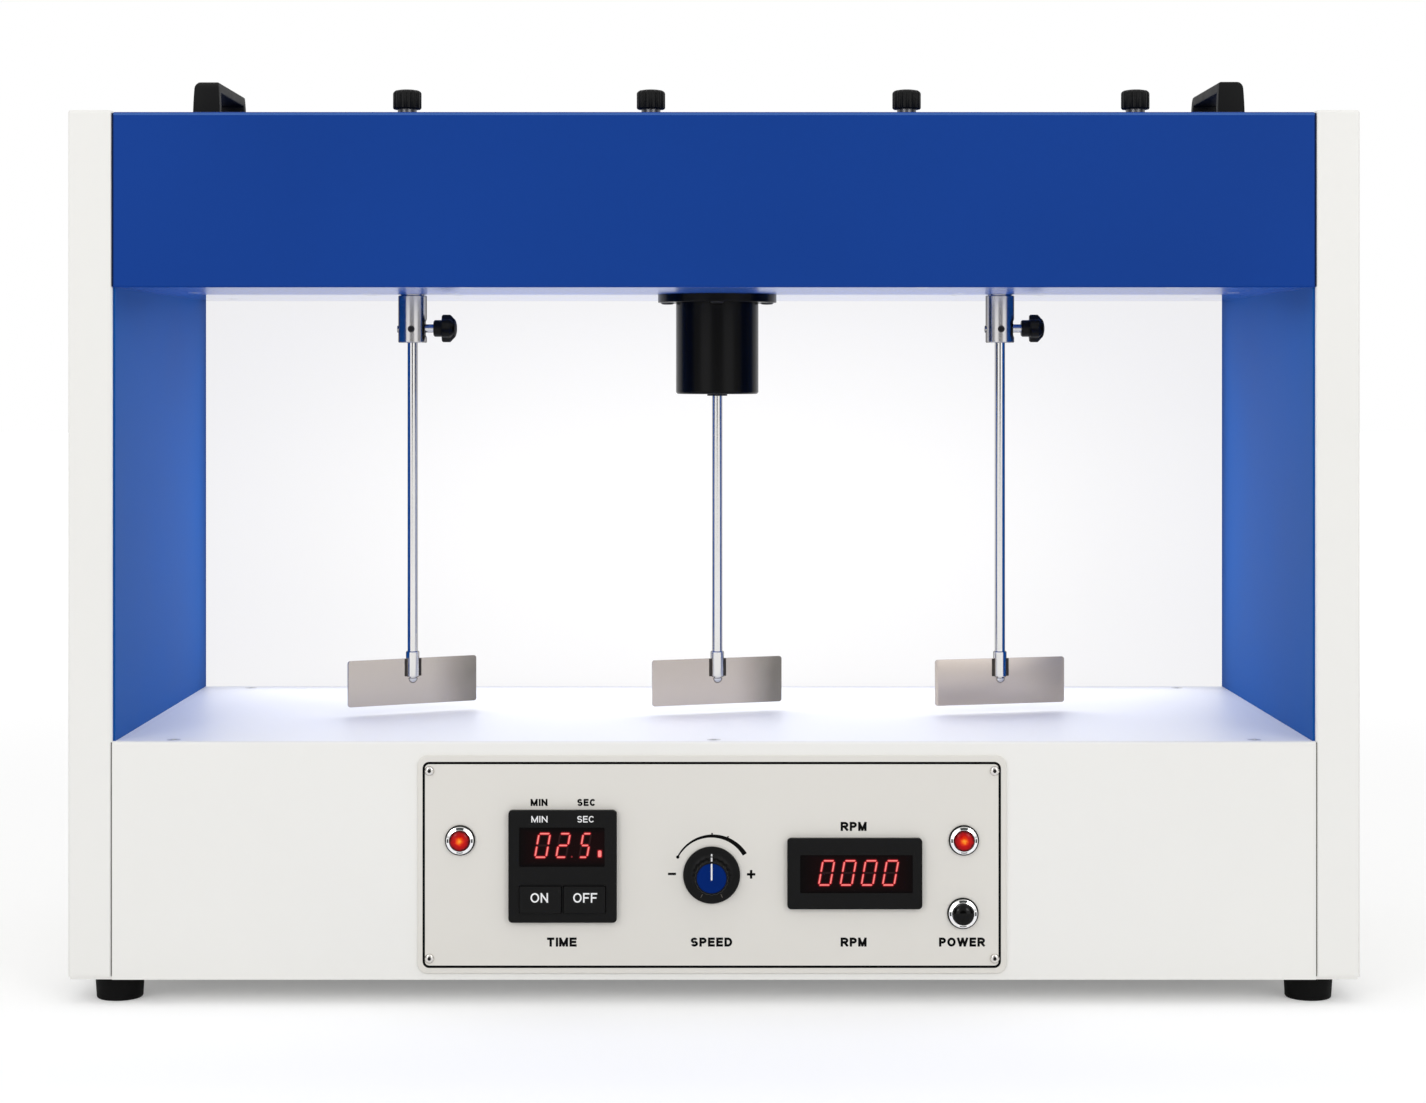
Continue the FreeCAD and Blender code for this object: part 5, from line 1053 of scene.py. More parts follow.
@dataclass
class Casework:
    """The parts of the frame that keep their shape and get their finish here."""

    finishes: tuple[tuple[Finish, tuple[str, ...]], ...] = (
        (WHITE_COAT, ("left_cheek_shell", "right_cheek_shell", "base_shell", "rear_cover")),
        (DECK_GLOSS, ("deck_plate",)),
        (BLUE_COAT, ("head_shell", "head_lid")),
        (BLUE_LINING, ("left_inner_panel", "right_inner_panel")),
        (BLUE_UNDERSIDE, ("head_base_plate",)),
        (OPAL, ("rear_diffuser",)),
        (LIGHT_STRIP, ("rear_led_strips",)),
        (PLATED_SCREW, ("countersunk_screws",)),
        (FOOT_RUBBER, ("rubber_feet",)),
        (PANEL_GREY, ("control_panel",)),
        (BEZEL_PLASTIC, ("timer_bezel", "rpm_bezel")),
        (KEY_PLASTIC, ("on_button", "off_button")),
        (BLACK_PLASTIC, ("timer_module", "rpm_module", "mains_inlet")),
        (TIMER_GLASS, ("timer_window",)),
        (SPEED_GLASS, ("rpm_window",)),
        (MOTOR_BLACK, ("motor_can",)),
        (IRON, ("motor_stator", "motor_rotor")),
        (BEARING_STEEL, ("ball_bearings",)),
        (ALUMINIUM, ("bearing_housings", "drive_pulley", "left_pulley", "right_pulley")),
        (BELT_RUBBER, ("drive_belts",)),
        (STEEL_TURNED, ("left_spindle", "right_spindle")),
        (LEFT_BLADE, ("left_paddle",)),
        (CENTRE_BLADE, ("centre_paddle",)),
        (RIGHT_BLADE, ("right_paddle",)),
        (ZINC_CASE, ("power_supply", "speed_potentiometer")),
        (BOARD, ("motor_driver",)),
    )
    folds: tuple[tuple[float, tuple[str, ...]], ...] = (
        (0.7, ("head_shell",)),
        (0.6, ("left_cheek_shell", "right_cheek_shell", "base_shell")),
        (0.5, ("rear_cover", "timer_bezel", "rpm_bezel")),
        (0.3, ("left_paddle", "centre_paddle", "right_paddle", "on_button", "off_button")),
    )
    weld: float = 0.002
    fold_steps: int = 2
    fold_angle: float = 50.0

    def build(self, nodes: dict[str, bpy.types.Object]) -> None:
        """Dresses each node and rounds the folds of the sheet metal.

        Args:
            nodes: the frame's objects by name.
        """
        for radius, names in self.folds:
            for name in names:
                self.round_folds(nodes[name], radius)
        for finish, names in self.finishes:
            for name in names:
                data = nodes[name].data
                if not data.materials:
                    data.materials.append(None)
                for place in range(len(data.materials)):
                    data.materials[place] = finish.material()
                LOG.info("%s: kept, in %s", name, finish.name)

    def round_folds(self, node: bpy.types.Object, radius: float) -> None:
        """Rounds the outer edges of a node through modifiers.

        Args:
            node: the node's object.
            radius: the size of the rounding in millimetres.
        """
        joined = node.modifiers.new("joined", "WELD")
        joined.merge_threshold = self.weld * MM
        rounded = node.modifiers.new("rounded", "BEVEL")
        rounded.width = radius * MM
        rounded.segments = self.fold_steps
        rounded.limit_method = "ANGLE"
        rounded.angle_limit = math.radians(self.fold_angle)
        rounded.harden_normals = True


@dataclass
class BridgeHandles:
    """The two black bridge handles: bowed sides, a slim bar and rounded edges."""

    depth: float = 10.25
    length: float = 92.0
    height: float = 26.4
    leg: float = 7.2
    bar: float = 5.6
    foot_width: float = 14.8
    top_share: float = 0.87
    length_share: float = 0.97
    bow: float = 2.4
    crown: float = 3.4
    edge: float = 0.9
    levels: int = 7

    def build(self) -> None:
        """Builds both handles."""
        for side, x in HANDLE_PLACES.items():
            handle = self.handle().move(at(x, self.depth, LID_TOP) @ round_z(180 if x > 0 else 0))
            handle = handle.piece(f"{side}_bridge_handle", "frame", "black_plastic", HANDLE_PLASTIC)
            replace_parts(handle, f"{side}_handle")

    def handle(self) -> Shape:
        """Cuts the side view out of a flat sheet, gives it its width, a round outer edge and bowed sides.

        Returns:
            The handle, its feet on the ground plane.
        """
        shape = Shape().plate(self.length, self.height, 0, 0).shift(0, self.height / 2)
        reach, ceiling = self.length / 2 - self.leg, self.height - self.bar
        shape.cut((-reach, 0, 0), (1, 0, 0)).cut((reach, 0, 0), (1, 0, 0))
        for height in (*(self.height * step / self.levels for step in range(1, self.levels)), ceiling):
            shape.cut((0, height, 0), (0, 1, 0))
        middles = [(face, face.calc_center_median()) for face in shape.mesh.faces]
        opening = [face for face, middle in middles if abs(middle.x) < reach and middle.y < ceiling]
        bmesh.ops.delete(shape.mesh, geom=opening, context="FACES")
        shape.thicken(self.foot_width).shift(0, 0, -self.foot_width / 2).move(round_z(90) @ FACING_FRONT)
        top = self.height - 0.01
        shape.soften(self.crown, 5, lambda middle: middle.z > top and middle.x < 0)
        for vertex in shape.mesh.verts:
            rise = max(vertex.co.z / self.height, 0.0) ** self.bow
            vertex.co.x *= 1 - (1 - self.top_share) * rise
            vertex.co.y *= 1 - (1 - self.length_share) * rise
        return shape.soften(self.edge, 3)


@dataclass
class Seams:
    """Painted shade lines where the cheeks meet the sheets between them, and a painted highlight along the
    head's upper bend line.
    """

    thick: float = 0.04
    bend_width: float = 612.6
    bend_span: Point = (453.25, 454.3)
    shade_lines: tuple[tuple[str, str, Finish, float, float, Point], ...] = (
        ("base_seam_painted_shade", "panel_grey", BASE_SEAM, 307.2, 0.5, (14.2, 133.4)),
        ("head_seam_painted_shade", "blue_paint", HEAD_SEAM, 306.75, 0.9, (365.8, 454.3)),
    )

    def build(self) -> None:
        """Builds the painted shade lines beside the base and the head, and the painted highlight on the bend
        line.
        """
        for name, slot, finish, x, width, span in self.shade_lines:
            # Each strip is painted shade where two sheets meet.
            pair = Shape().join(self.strip(-x, width, span), self.strip(x, width, span))
            pair.piece(name, "frame", slot, finish)
        # The lighter strip is a painted highlight along the bend.
        line = self.strip(0, self.bend_width, self.bend_span, 0.3)
        line.piece("head_bend_painted_highlight", "frame", "blue_paint", FOLD_HIGHLIGHT)

    def strip(self, x: float, width: float, span: Point, corner: float = 0.0) -> Shape:
        """Draws an upright strip on the front.

        Args:
            x: its middle.
            width: its width.
            span: its lower and its upper end.
            corner: the size of its corners.

        Returns:
            The strip.
        """
        plate = Shape().plate(width, span[1] - span[0], corner, self.thick, 2)
        return plate.shift(x, (span[0] + span[1]) / 2).move(on_front(SHELL_FRONT))


class Recess(Enum):
    """The recess that a screw is driven by."""

    CROSS = "cross"
    HEXAGON = "hexagon"


@dataclass
class Fasteners:
    """Identical domed screws, each with its recess drawn as a dark plate of painted shade."""

    node: str
    finish: Finish
    recess: Recess
    recess_share: float
    head_radius: float
    shank_radius: float
    length: float
    seats: tuple[tuple[Triple, Matrix, float], ...]
    sink: float = 0.02

    def build(self) -> None:
        """Builds all the screws as one piece, and their recesses, dark plates of painted shade, as another.
        """
        screws, recesses = Shape(), Shape()
        for place, facing, height in self.seats:
            seat = at(*place) @ facing
            screws.join(self.screw(height).move(seat))
            # The recess is a dark plate of painted shade on the head.
            recesses.join(self.mark().shift(0, 0, height - self.sink).move(seat))
        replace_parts(screws.piece(f"{self.node}_turned", "frame", "screw_steel", self.finish), self.node)
        recesses.piece(f"{self.node}_recesses", "frame", "screw_steel", RECESS_SHADE)

    def screw(self, height: float) -> Shape:
        """Turns one screw, its head upwards on the ground plane.

        Args:
            height: how high its head is.

        Returns:
            The screw.
        """
        radius, shank, length = self.head_radius, self.shank_radius, self.length
        dome = ((0, 1), (0.53, 1), (0.78, 0.86), (0.93, 0.58), (1, 0.25), (1, 0))
        outline = [(radius * across, height * up) for across, up in dome]
        outline += [(shank, 0), (shank, 0.5 - length), (shank - 0.5, -length), (0, -length)]
        return Shape().turn(outline, 36)

    def mark(self) -> Shape:
        """Draws the recess as a thin dark plate of painted shade.

        Returns:
            The recess.
        """
        reach = self.head_radius * self.recess_share
        if self.recess is Recess.HEXAGON:
            return Shape().turn([(0, 0.04), (reach, 0.04), (reach, 0), (0, 0)], 6)
        cross = Shape().plate(2 * reach, reach * 0.4, 0.1, 0.04, 2)
        return cross.join(Shape().plate(reach * 0.4, 2 * reach, 0.1, 0.05, 2))


PAN_HEAD_SCREWS = Fasteners(
    node="pan_head_screws",
    finish=BLACK_SCREW,
    recess=Recess.CROSS,
    recess_share=0.5,
    head_radius=3.6,
    shank_radius=2.0,
    length=8.0,
    seats=(
        *(((x, y, 5.9), FACING_DOWN, 2.4) for x in (-306.5, 306.5) for y in (-122.75, 131.25)),
        *(
            ((AXES["centre"] + x, AXIS_DEPTH + y, 360.9), FACING_DOWN, 1.0)
            for x, y in ((27.6, 0), (0, 27.6), (-27.6, 0), (0, -27.6))
        ),
        *(((x, y, 453.4), FACING_DOWN, 2.4) for x in HANDLE_PLACES.values() for y in (-31.5, 52.0)),
        *(((x, 150.75, z), FACING_BACK, 2.4) for x in (-313.5, 313.5) for z in (41.9, 170.23, 298.57, 426.9)),
        *(
            ((x, y, z), facing, 2.4)
            for x, facing in ((-305.5, FACING_RIGHT), (305.5, FACING_LEFT))
            for y in (-90.75, 104.25)
            for z in (72.85, 410.15)
        ),
    ),
)
PANEL_SCREWS = Fasteners(
    node="panel_screws",
    finish=NICKEL_SCREW,
    recess=Recess.HEXAGON,
    recess_share=0.4,
    head_radius=2.45,
    shank_radius=1.5,
    length=6.0,
    seats=tuple(((x, PANEL_FRONT, z), FACING_FRONT, 1.4) for x in (-144.9, 142.9) for z in (23.55, 119.05)),
)


@dataclass
class StirringRods:
    """The three rods with their round-ended sleeves, and the dark patches of painted shadow and reflection
    beside the sleeves on the blades.
    """

    bodies: tuple[tuple[str, str, float], ...] = (
        ("left", "left_agitator", 28.0),
        ("centre", "centre_drive", 20.0),
        ("right", "right_agitator", 15.6),
    )
    rod_radius: float = 2.8
    sleeve_radius: float = 3.7
    sleeve_top: float = 167.5
    sleeve_bottom: float = 153.4
    neck_radius: float = 2.2
    tip_radius: float = 2.75
    tip_bottom: float = 149.8
    sleeve_shade_width: float = 10.0
    sleeve_shade_top: float = 163.5
    sleeve_shade_bottom: float = 153.7
    sleeve_shade_thick: float = 1.34

    def build(self) -> None:
        """Builds the rods and the painted shadows beside the sleeves."""
        for side, body, yaw in self.bodies:
            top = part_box(f"{side}_rod")[1][2] / MM
            seat = at(AXES[side], AXIS_DEPTH, 0)
            rod = self.rod(top).move(seat)
            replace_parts(rod.piece(f"{side}_stirring_rod", body, "polished_steel", STEEL_ROD), f"{side}_rod")
            # Painted shadow and reflection: a dark plate beside the sleeve.
            slot = self.slot().move(seat @ round_z(yaw))
            slot.piece(f"{side}_sleeve_painted_shadow", body, "satin_steel", SLEEVE_SHADE)

    def rod(self, top: float) -> Shape:
        """Turns one rod with its sleeve and its round tip.

        Args:
            top: the height of its upper end.

        Returns:
            The rod.
        """
        radius, sleeve, high, low = self.rod_radius, self.sleeve_radius, self.sleeve_top, self.sleeve_bottom
        outline = [(0, top), (radius - 0.4, top), (radius, top - 0.4), (radius, high + 0.05)]
        outline += [(radius + 0.1, high), (sleeve - 0.35, high), (sleeve, high - 0.4)]
        outline += [(sleeve, low + 0.4), (sleeve - 0.35, low)]
        outline += [(self.neck_radius, low), (self.neck_radius, low - 0.5)]
        tip, middle = self.tip_radius, self.tip_bottom + self.tip_radius
        angles = [math.radians(15 * step) for step in range(7)]
        outline += [(tip * math.cos(angle), middle - tip * math.sin(angle)) for angle in angles]
        return Shape().turn(outline)

    def slot(self) -> Shape:
        """Draws the dark patch of painted shadow and reflection beside the sleeve, on both faces of the
        blade.

        Returns:
            The slot.
        """
        plate = Shape().plate(self.sleeve_shade_width, self.sleeve_shade_top - self.sleeve_shade_bottom, 0.3, self.sleeve_shade_thick)
        plate.move(on_front(self.sleeve_shade_thick / 2))
        return plate.shift(0, 0, (self.sleeve_shade_top + self.sleeve_shade_bottom) / 2)


@dataclass
class GrubScrews:
    """The socket ends of the grub screws in both chucks; each socket is a dark plate of painted shade."""

    level: float = 346.3
    radius: float = 1.9
    socket: float = 1.15
    proud: float = 0.04
    sides: tuple[tuple[Point, Matrix], ...] = (((0, -7.86), FACING_FRONT), ((-8.36, 0), FACING_LEFT))

    def build(self) -> None:
        """Builds the faces and sockets of both chucks; the sockets are painted shade."""
        bore, hole = self.socket, self.socket * 1.1
        ring = [(bore, self.proud), (self.radius, self.proud), (self.radius, -0.3), (bore, -0.3)]
        for side in ("left", "right"):
            faces, sockets = Shape(), Shape()
            for (x, y), facing in self.sides:
                seat = at(AXES[side] + x, AXIS_DEPTH + y, self.level) @ facing
                faces.join(Shape().turn([*ring, ring[0]], 32).move(seat))
                # Painted shade: each socket is a flat dark hexagon.
                sockets.join(Shape().turn([(0, 0), (hole, 0), (hole, -0.2), (0, -0.2)], 6).move(seat))
            faces.piece(f"{side}_grub_faces", f"{side}_drive", "satin_steel", BLACK_SCREW)
            sockets.piece(f"{side}_grub_sockets", f"{side}_drive", "satin_steel", RECESS_SHADE)


@dataclass
class LidKnobs:
    """The four fluted caps on top, each with its bright stud."""

    places: tuple[float, ...] = (-159.6, -32.8, 100.2, 219.2)
    bodies: tuple[str, ...] = ("lid_knob_one", "lid_knob_two", "lid_knob_three", "lid_knob_four")
    depth: float = -110.75
    stud_bottom: float = -10.5
    cap_radius: float = 7.4
    cap_low: float = 4.0
    cap_high: float = 14.2
    stud_radius: float = 5.0
    shank_radius: float = 3.0
    flutes: int = 14
    flute_depth: float = 0.55

    def build(self) -> None:
        """Builds the caps and their studs."""
        for number, (x, body) in enumerate(zip(self.places, self.bodies), start=1):
            seat = at(x, self.depth, LID_TOP)
            cap = self.cap().move(seat).piece(f"lid_knob_{number}_cap", body, "black_plastic", KNOB_PLASTIC)
            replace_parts(cap, f"lid_knob_{number}")
            self.stud().move(seat).piece(f"lid_knob_{number}_stud", body, "screw_steel", COLLAR_STEEL)

    def cap(self) -> Shape:
        """Turns the cap and presses its flutes.

        Returns:
            The cap.
        """
        high, low, radius = self.cap_high, self.cap_low, self.cap_radius
        outline = [(0, high), (radius - 3.6, high - 0.1), (radius - 1.3, high - 0.5)]
        outline += [(radius - 0.35, high - 1.2), (radius, high - 2.0), (radius, low + 0.6)]
        outline += [(radius - 0.5, low), (radius - 1.9, low), (radius - 2.1, low + 0.5), (0, low + 0.5)]
        cap = Shape().turn(outline, self.flutes * 12)
        return cap.flute(self.flutes, self.flute_depth, (radius - 1.6, math.inf), 2.0)

    def stud(self) -> Shape:
        """Turns the stud that runs from the cap down through the lid.

        Returns:
            The stud.
        """
        radius, shank = self.stud_radius, self.shank_radius
        bottom, top = self.stud_bottom, self.cap_low + 0.9
        outline = [(0, top), (radius, top), (radius, 0.9), (radius + 0.6, 0.7), (radius + 0.6, 0.15)]
        outline += [(shank, 0.1), (shank, bottom + 0.8), (shank - 0.6, bottom), (0, bottom)]
        return Shape().turn(outline, 32)


@dataclass
class ClampKnobs:
    """The lobed knobs that clamp the side rods, each on its threaded stud."""

    level: float = 346.7
    stud_start: float = 3.1
    stud_radius: float = 2.3
    hub_start: float = 11.8
    head_start: float = 16.3
    head_end: float = 24.7
    hub_radius: float = 4.65
    head_radius: float = 7.65
    lobes: int = 6
    lobe_depth: float = 1.5

    def build(self) -> None:
        """Builds both knobs and their studs."""
        for side in ("left", "right"):
            seat = at(AXES[side], AXIS_DEPTH, self.level) @ FACING_RIGHT
            head = self.head().move(seat)
            head = head.piece(f"{side}_clamp_head", f"{side}_clamp", "black_plastic", KNOB_PLASTIC)
            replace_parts(head, f"{side}_clamp_knob")
            self.stud().move(seat).piece(f"{side}_clamp_stud", f"{side}_clamp", "screw_steel", STEEL_STUD)

    def head(self) -> Shape:
        """Turns the hub and the head, and presses the lobes.

        Returns:
            The head.
        """
        hub, rim, start, end = self.hub_radius, self.head_radius, self.head_start, self.head_end
        outline = [(0, end), (2.2, end - 0.15), (4.0, end - 0.6), (5.0, end - 1.15), (5.3, end - 1.5)]
        outline += [(rim - 0.5, end - 3.2), (rim, end - 3.8), (rim, start + 0.7), (rim - 0.6, start)]
        outline += [(hub + 0.2, start), (hub, start - 0.2), (hub, self.hub_start + 0.6)]
        outline += [(hub - 0.6, self.hub_start), (0, self.hub_start)]
        head = Shape().turn(outline, self.lobes * 16)
        return head.flute(self.lobes, self.lobe_depth, (hub + 0.6, math.inf))

    def stud(self) -> Shape:
        """Turns the stud between the spindle and the hub.

        Returns:
            The stud.
        """
        radius, start, end = self.stud_radius, self.stud_start, self.hub_start + 0.5
        outline = [(0, end), (radius, end), (radius, start + 0.5), (radius - 0.5, start), (0, start)]
        return Shape().turn(outline, 24)


@dataclass
class SpeedDial:
    """The speed knob: dished skirt, fluted grip, blue cap and white pointer."""

    middle: Point = (-1.2, 66.2)
    back: float = -142.75
    height: float = 11.0
    skirt_radius: float = 14.5
    skirt_thick: float = 1.6
    grip_radius: float = 9.2
    grip_front_radius: float = 8.6
    cap_radius: float = 7.5
    flutes: int = 20
    flute_depth: float = 0.35
    pointer_width: float = 0.8
    tick_angles: Point = (154.0, -154.0)

    def build(self) -> None:
        """Builds the knob, its cap, its pointer and its two ticks."""
        seat = at(self.middle[0], self.back, self.middle[1]) @ FACING_FRONT
        knob = self.knob().move(seat).piece("speed_dial_knob", "speed_dial", "black_plastic", KNOB_PLASTIC)
        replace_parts(knob, "speed_knob")
        cap = self.cap().move(seat).piece("speed_dial_cap", "speed_dial", "blue_cap", CAP_BLUE)
        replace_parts(cap, "speed_knob_cap")
        self.pointer().move(seat).piece("speed_dial_pointer", "speed_dial", "white_paint", WHITE_INK)
        self.ticks().move(seat).piece("speed_dial_ticks", "speed_dial", "panel_grey", TICK_INK)

    def knob(self) -> Shape:
        """Turns the skirt and the grip, and presses the grip's flutes.

        Returns:
            The knob.
        """
        rim, grip, top, skirt = self.skirt_radius, self.grip_radius, self.height, self.skirt_thick
        cap, front = self.cap_radius, self.grip_front_radius
        outline = [(0, top - 0.7), (cap + 0.05, top - 0.7), (cap + 0.1, top - 0.1)]
        outline += [(front - 0.25, top - 0.05), (front, top - 0.4), (grip, skirt + 0.7)]
        outline += [(grip + 0.5, skirt + 0.1), (grip + 2.0, skirt - 0.25), (rim - 1.0, skirt - 0.05)]
        outline += [(rim - 0.35, skirt - 0.1), (rim, skirt - 0.55), (rim, 0), (0, 0)]
        knob = Shape().turn(outline, self.flutes * 8)
        return knob.flute(self.flutes, self.flute_depth, (cap + 0.3, grip + 0.1), above=skirt + 0.3)

    def cap(self) -> Shape:
        """Turns the shallow blue cap.

        Returns:
            The cap.
        """
        radius, top = self.cap_radius, self.height
        outline = [(0, top - 0.12), (radius - 1.4, top - 0.1), (radius - 0.5, top)]
        outline += [(radius - 0.1, top - 0.12), (radius, top - 0.35), (radius, top - 1.2), (0, top - 1.2)]
        return Shape().turn(outline, 72)

    def pointer(self) -> Shape:
        """Lays the pointer on the cap, down the grip and onto the skirt.

        Returns:
            The pointer.
        """
        width, top, cap, skirt = self.pointer_width, self.height, self.cap_radius, self.skirt_thick
        grip, front = self.grip_radius, self.grip_front_radius
        face = Shape().plate(width, cap + 0.9, 0.15, 0.14, 1).shift(0, cap / 2 - 0.45, top - 0.14)
        foot = Shape().plate(width, 1.6, 0.15, 0.12, 1).shift(0, grip + 0.9, skirt)
        lean = Matrix.Rotation(math.atan2(grip - front, top - skirt), 4, "X")
        flank = Shape().plate(width, top - skirt - 0.5, 0.1, 0.12, 1).move(lean @ FACING_BACK)
        return face.join(foot, flank.shift(0, (grip + front) / 2 - 0.02, (top + skirt) / 2))

    def ticks(self) -> Shape:
        """Lays the two ticks that mark the knob's travel on the skirt.

        Returns:
            The ticks.
        """
        out = at(0, self.grip_radius + 2.4, self.skirt_thick - 0.22)
        seats = [round_z(angle) @ out for angle in self.tick_angles]
        return Shape().join(*(Shape().plate(0.3, 2.4, 0.05, 0.1, 1).move(seat) for seat in seats))


@dataclass
class PanelLights:
    """The two red lamps and the power button, each in a slotted chrome ring on a dark seal; the slots are
    dark marks of painted shade, and the seal's dark ring is partly painted shade at the ring's edge.
    """

    lamp_places: tuple[Point, ...] = ((-129.3, 83.8), (127.2, 83.8))
    button_places: tuple[Point, ...] = ((126.7, 46.6),)
    lamp: Triple = (5.2, 1.8, 3.0)
    button: Triple = (5.45, 2.4, 4.6)
    ring_gap: float = 0.1
    ring_width: float = 1.75
    ring_height: float = 3.0
    face_inset: float = 0.15
    face_slope: float = 0.42
    seal_width: float = 0.65
    seal_height: float = 1.0
    barrel_wall: float = 1.0
    barrel_depth: float = 21.5
    nut_radius: float = 9.6
    nut_depths: Point = (1.6, 4.6)
    slot_spans: tuple[Triple, ...] = (
        (90.0, 36.0, 1.15),
        (0.0, 18.0, 0.85),
        (180.0, 18.0, 0.85),
        (270.0, 30.0, 0.5),
    )

    def build(self) -> None:
        """Builds lenses, button, rings, seals and the slot marks of painted shade."""
        lens = self.copies(self.lamp_places, lambda: self.dome(*self.lamp))
        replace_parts(lens.piece("lamp_glass_domes", "frame", "red_lens", LAMP_GLASS), "lamp_lenses")
        button = self.copies(self.button_places, lambda: self.dome(*self.button))
        button = button.piece("power_button_dome", "power_key", "black_plastic", BUTTON_GLOSS)
        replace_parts(button, "power_button")
        holders = (
            ("lamp", self.lamp_places, self.lamp[0] + self.ring_gap, "lamp_bezels"),
            ("power", self.button_places, self.button[0] + self.ring_gap, "power_switch"),
        )
        for name, places, bore, node in holders:
            ring = self.copies(places, lambda: self.ring(bore))
            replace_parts(ring.piece(f"{name}_chrome_rings", "frame", "chrome_trim", CHROME), node)
            # The seal's dark ring is partly painted shade round the chrome ring's edge.
            seal = self.copies(places, lambda: self.seal(bore + self.ring_width))
            seal.piece(f"{name}_ring_seals_and_edge_shade", "frame", "black_plastic", SEAL_AND_EDGE_SHADE)
            # The slots are dark marks of painted shade on the ring's face.
            slots = self.copies(places, lambda: self.slots(bore))
            slots.piece(f"{name}_ring_slot_painted_shade", "frame", "chrome_trim", SLOT_SHADE)

    def copies(self, places: Sequence[Point], make: Callable[[], Shape]) -> Shape:
        """Puts the same shape at several x and z of the panel, its foot on the panel."""
        return Shape().join(*(make().move(at(x, PANEL_FRONT, z) @ FACING_FRONT) for x, z in places))

    def dome(self, radius: float, rise: float, top: float) -> Shape:
        """Turns a lens or a button.

        Args:
            radius: its radius.
            rise: how far the dome rises.
            top: the height above the panel at which the dome starts.

        Returns:
            The lens or the button.
        """
        angles = [math.radians(step * 7.5) for step in range(13)]
        curve = [(radius * math.sin(angle), top + rise * math.cos(angle)) for angle in angles]
        return Shape().turn([*curve, (radius, 0.5), (0, 0.5)], 64)

    def face_height(self, bore: float, radius: float) -> float:
        """Gives the height of a ring's sloping face at a radius."""
        return self.ring_height - (radius - bore - self.face_inset) * self.face_slope

    def ring(self, bore: float) -> Shape:
        """Turns the ring with its barrel, and the nut behind the panel.

        Args:
            bore: the ring's inner radius.

        Returns:
            The ring and the nut.
        """
        rim, top, barrel = bore + self.ring_width, self.ring_height, bore + self.barrel_wall
        edge, back = rim - self.face_inset, -self.barrel_depth
        outline = [(bore, back), (bore, top - 0.3), (bore + self.face_inset, top)]
        outline += [(edge, self.face_height(bore, edge)), (rim, top - 1.1), (rim, 0)]
        outline += [(barrel, 0), (barrel, back), (bore, back)]
        near, far = (-depth for depth in self.nut_depths)
        nut = [(barrel, near), (self.nut_radius, near), (self.nut_radius, far), (barrel, far), (barrel, near)]
        return Shape().turn(outline, 72).join(Shape().turn(nut, 6))

    def seal(self, ring: float) -> Shape:
        """Turns the dark seal round a ring of this radius; its dark colour is partly painted shade at the
        ring's edge.

        Args:
            ring: the ring's outer radius.

        Returns:
            The seal.
        """
        inner, outer, high = ring - 0.2, ring + self.seal_width, self.seal_height
        outline = [(inner, 0), (inner, high), (outer - 0.15, high), (outer, high - 0.2), (outer, 0)]
        return Shape().turn([*outline, outline[0]], 72)

    def slots(self, bore: float) -> Shape:
        """Draws the four slots on a ring's sloping face as dark marks of painted shade, widest at the top.

        Args:
            bore: the ring's inner radius.

        Returns:
            The slots.
        """
        group, middle = Shape(), bore + self.ring_width / 2
        for angle, sweep, width in self.slot_spans:
            group.join(Shape().curl((middle, middle), angle - sweep / 2, sweep, width, 10))
        group.thicken(0.02)
        for vertex in group.mesh.verts:
            vertex.co.z += self.face_height(bore, math.hypot(vertex.co.x, vertex.co.y))
        return group


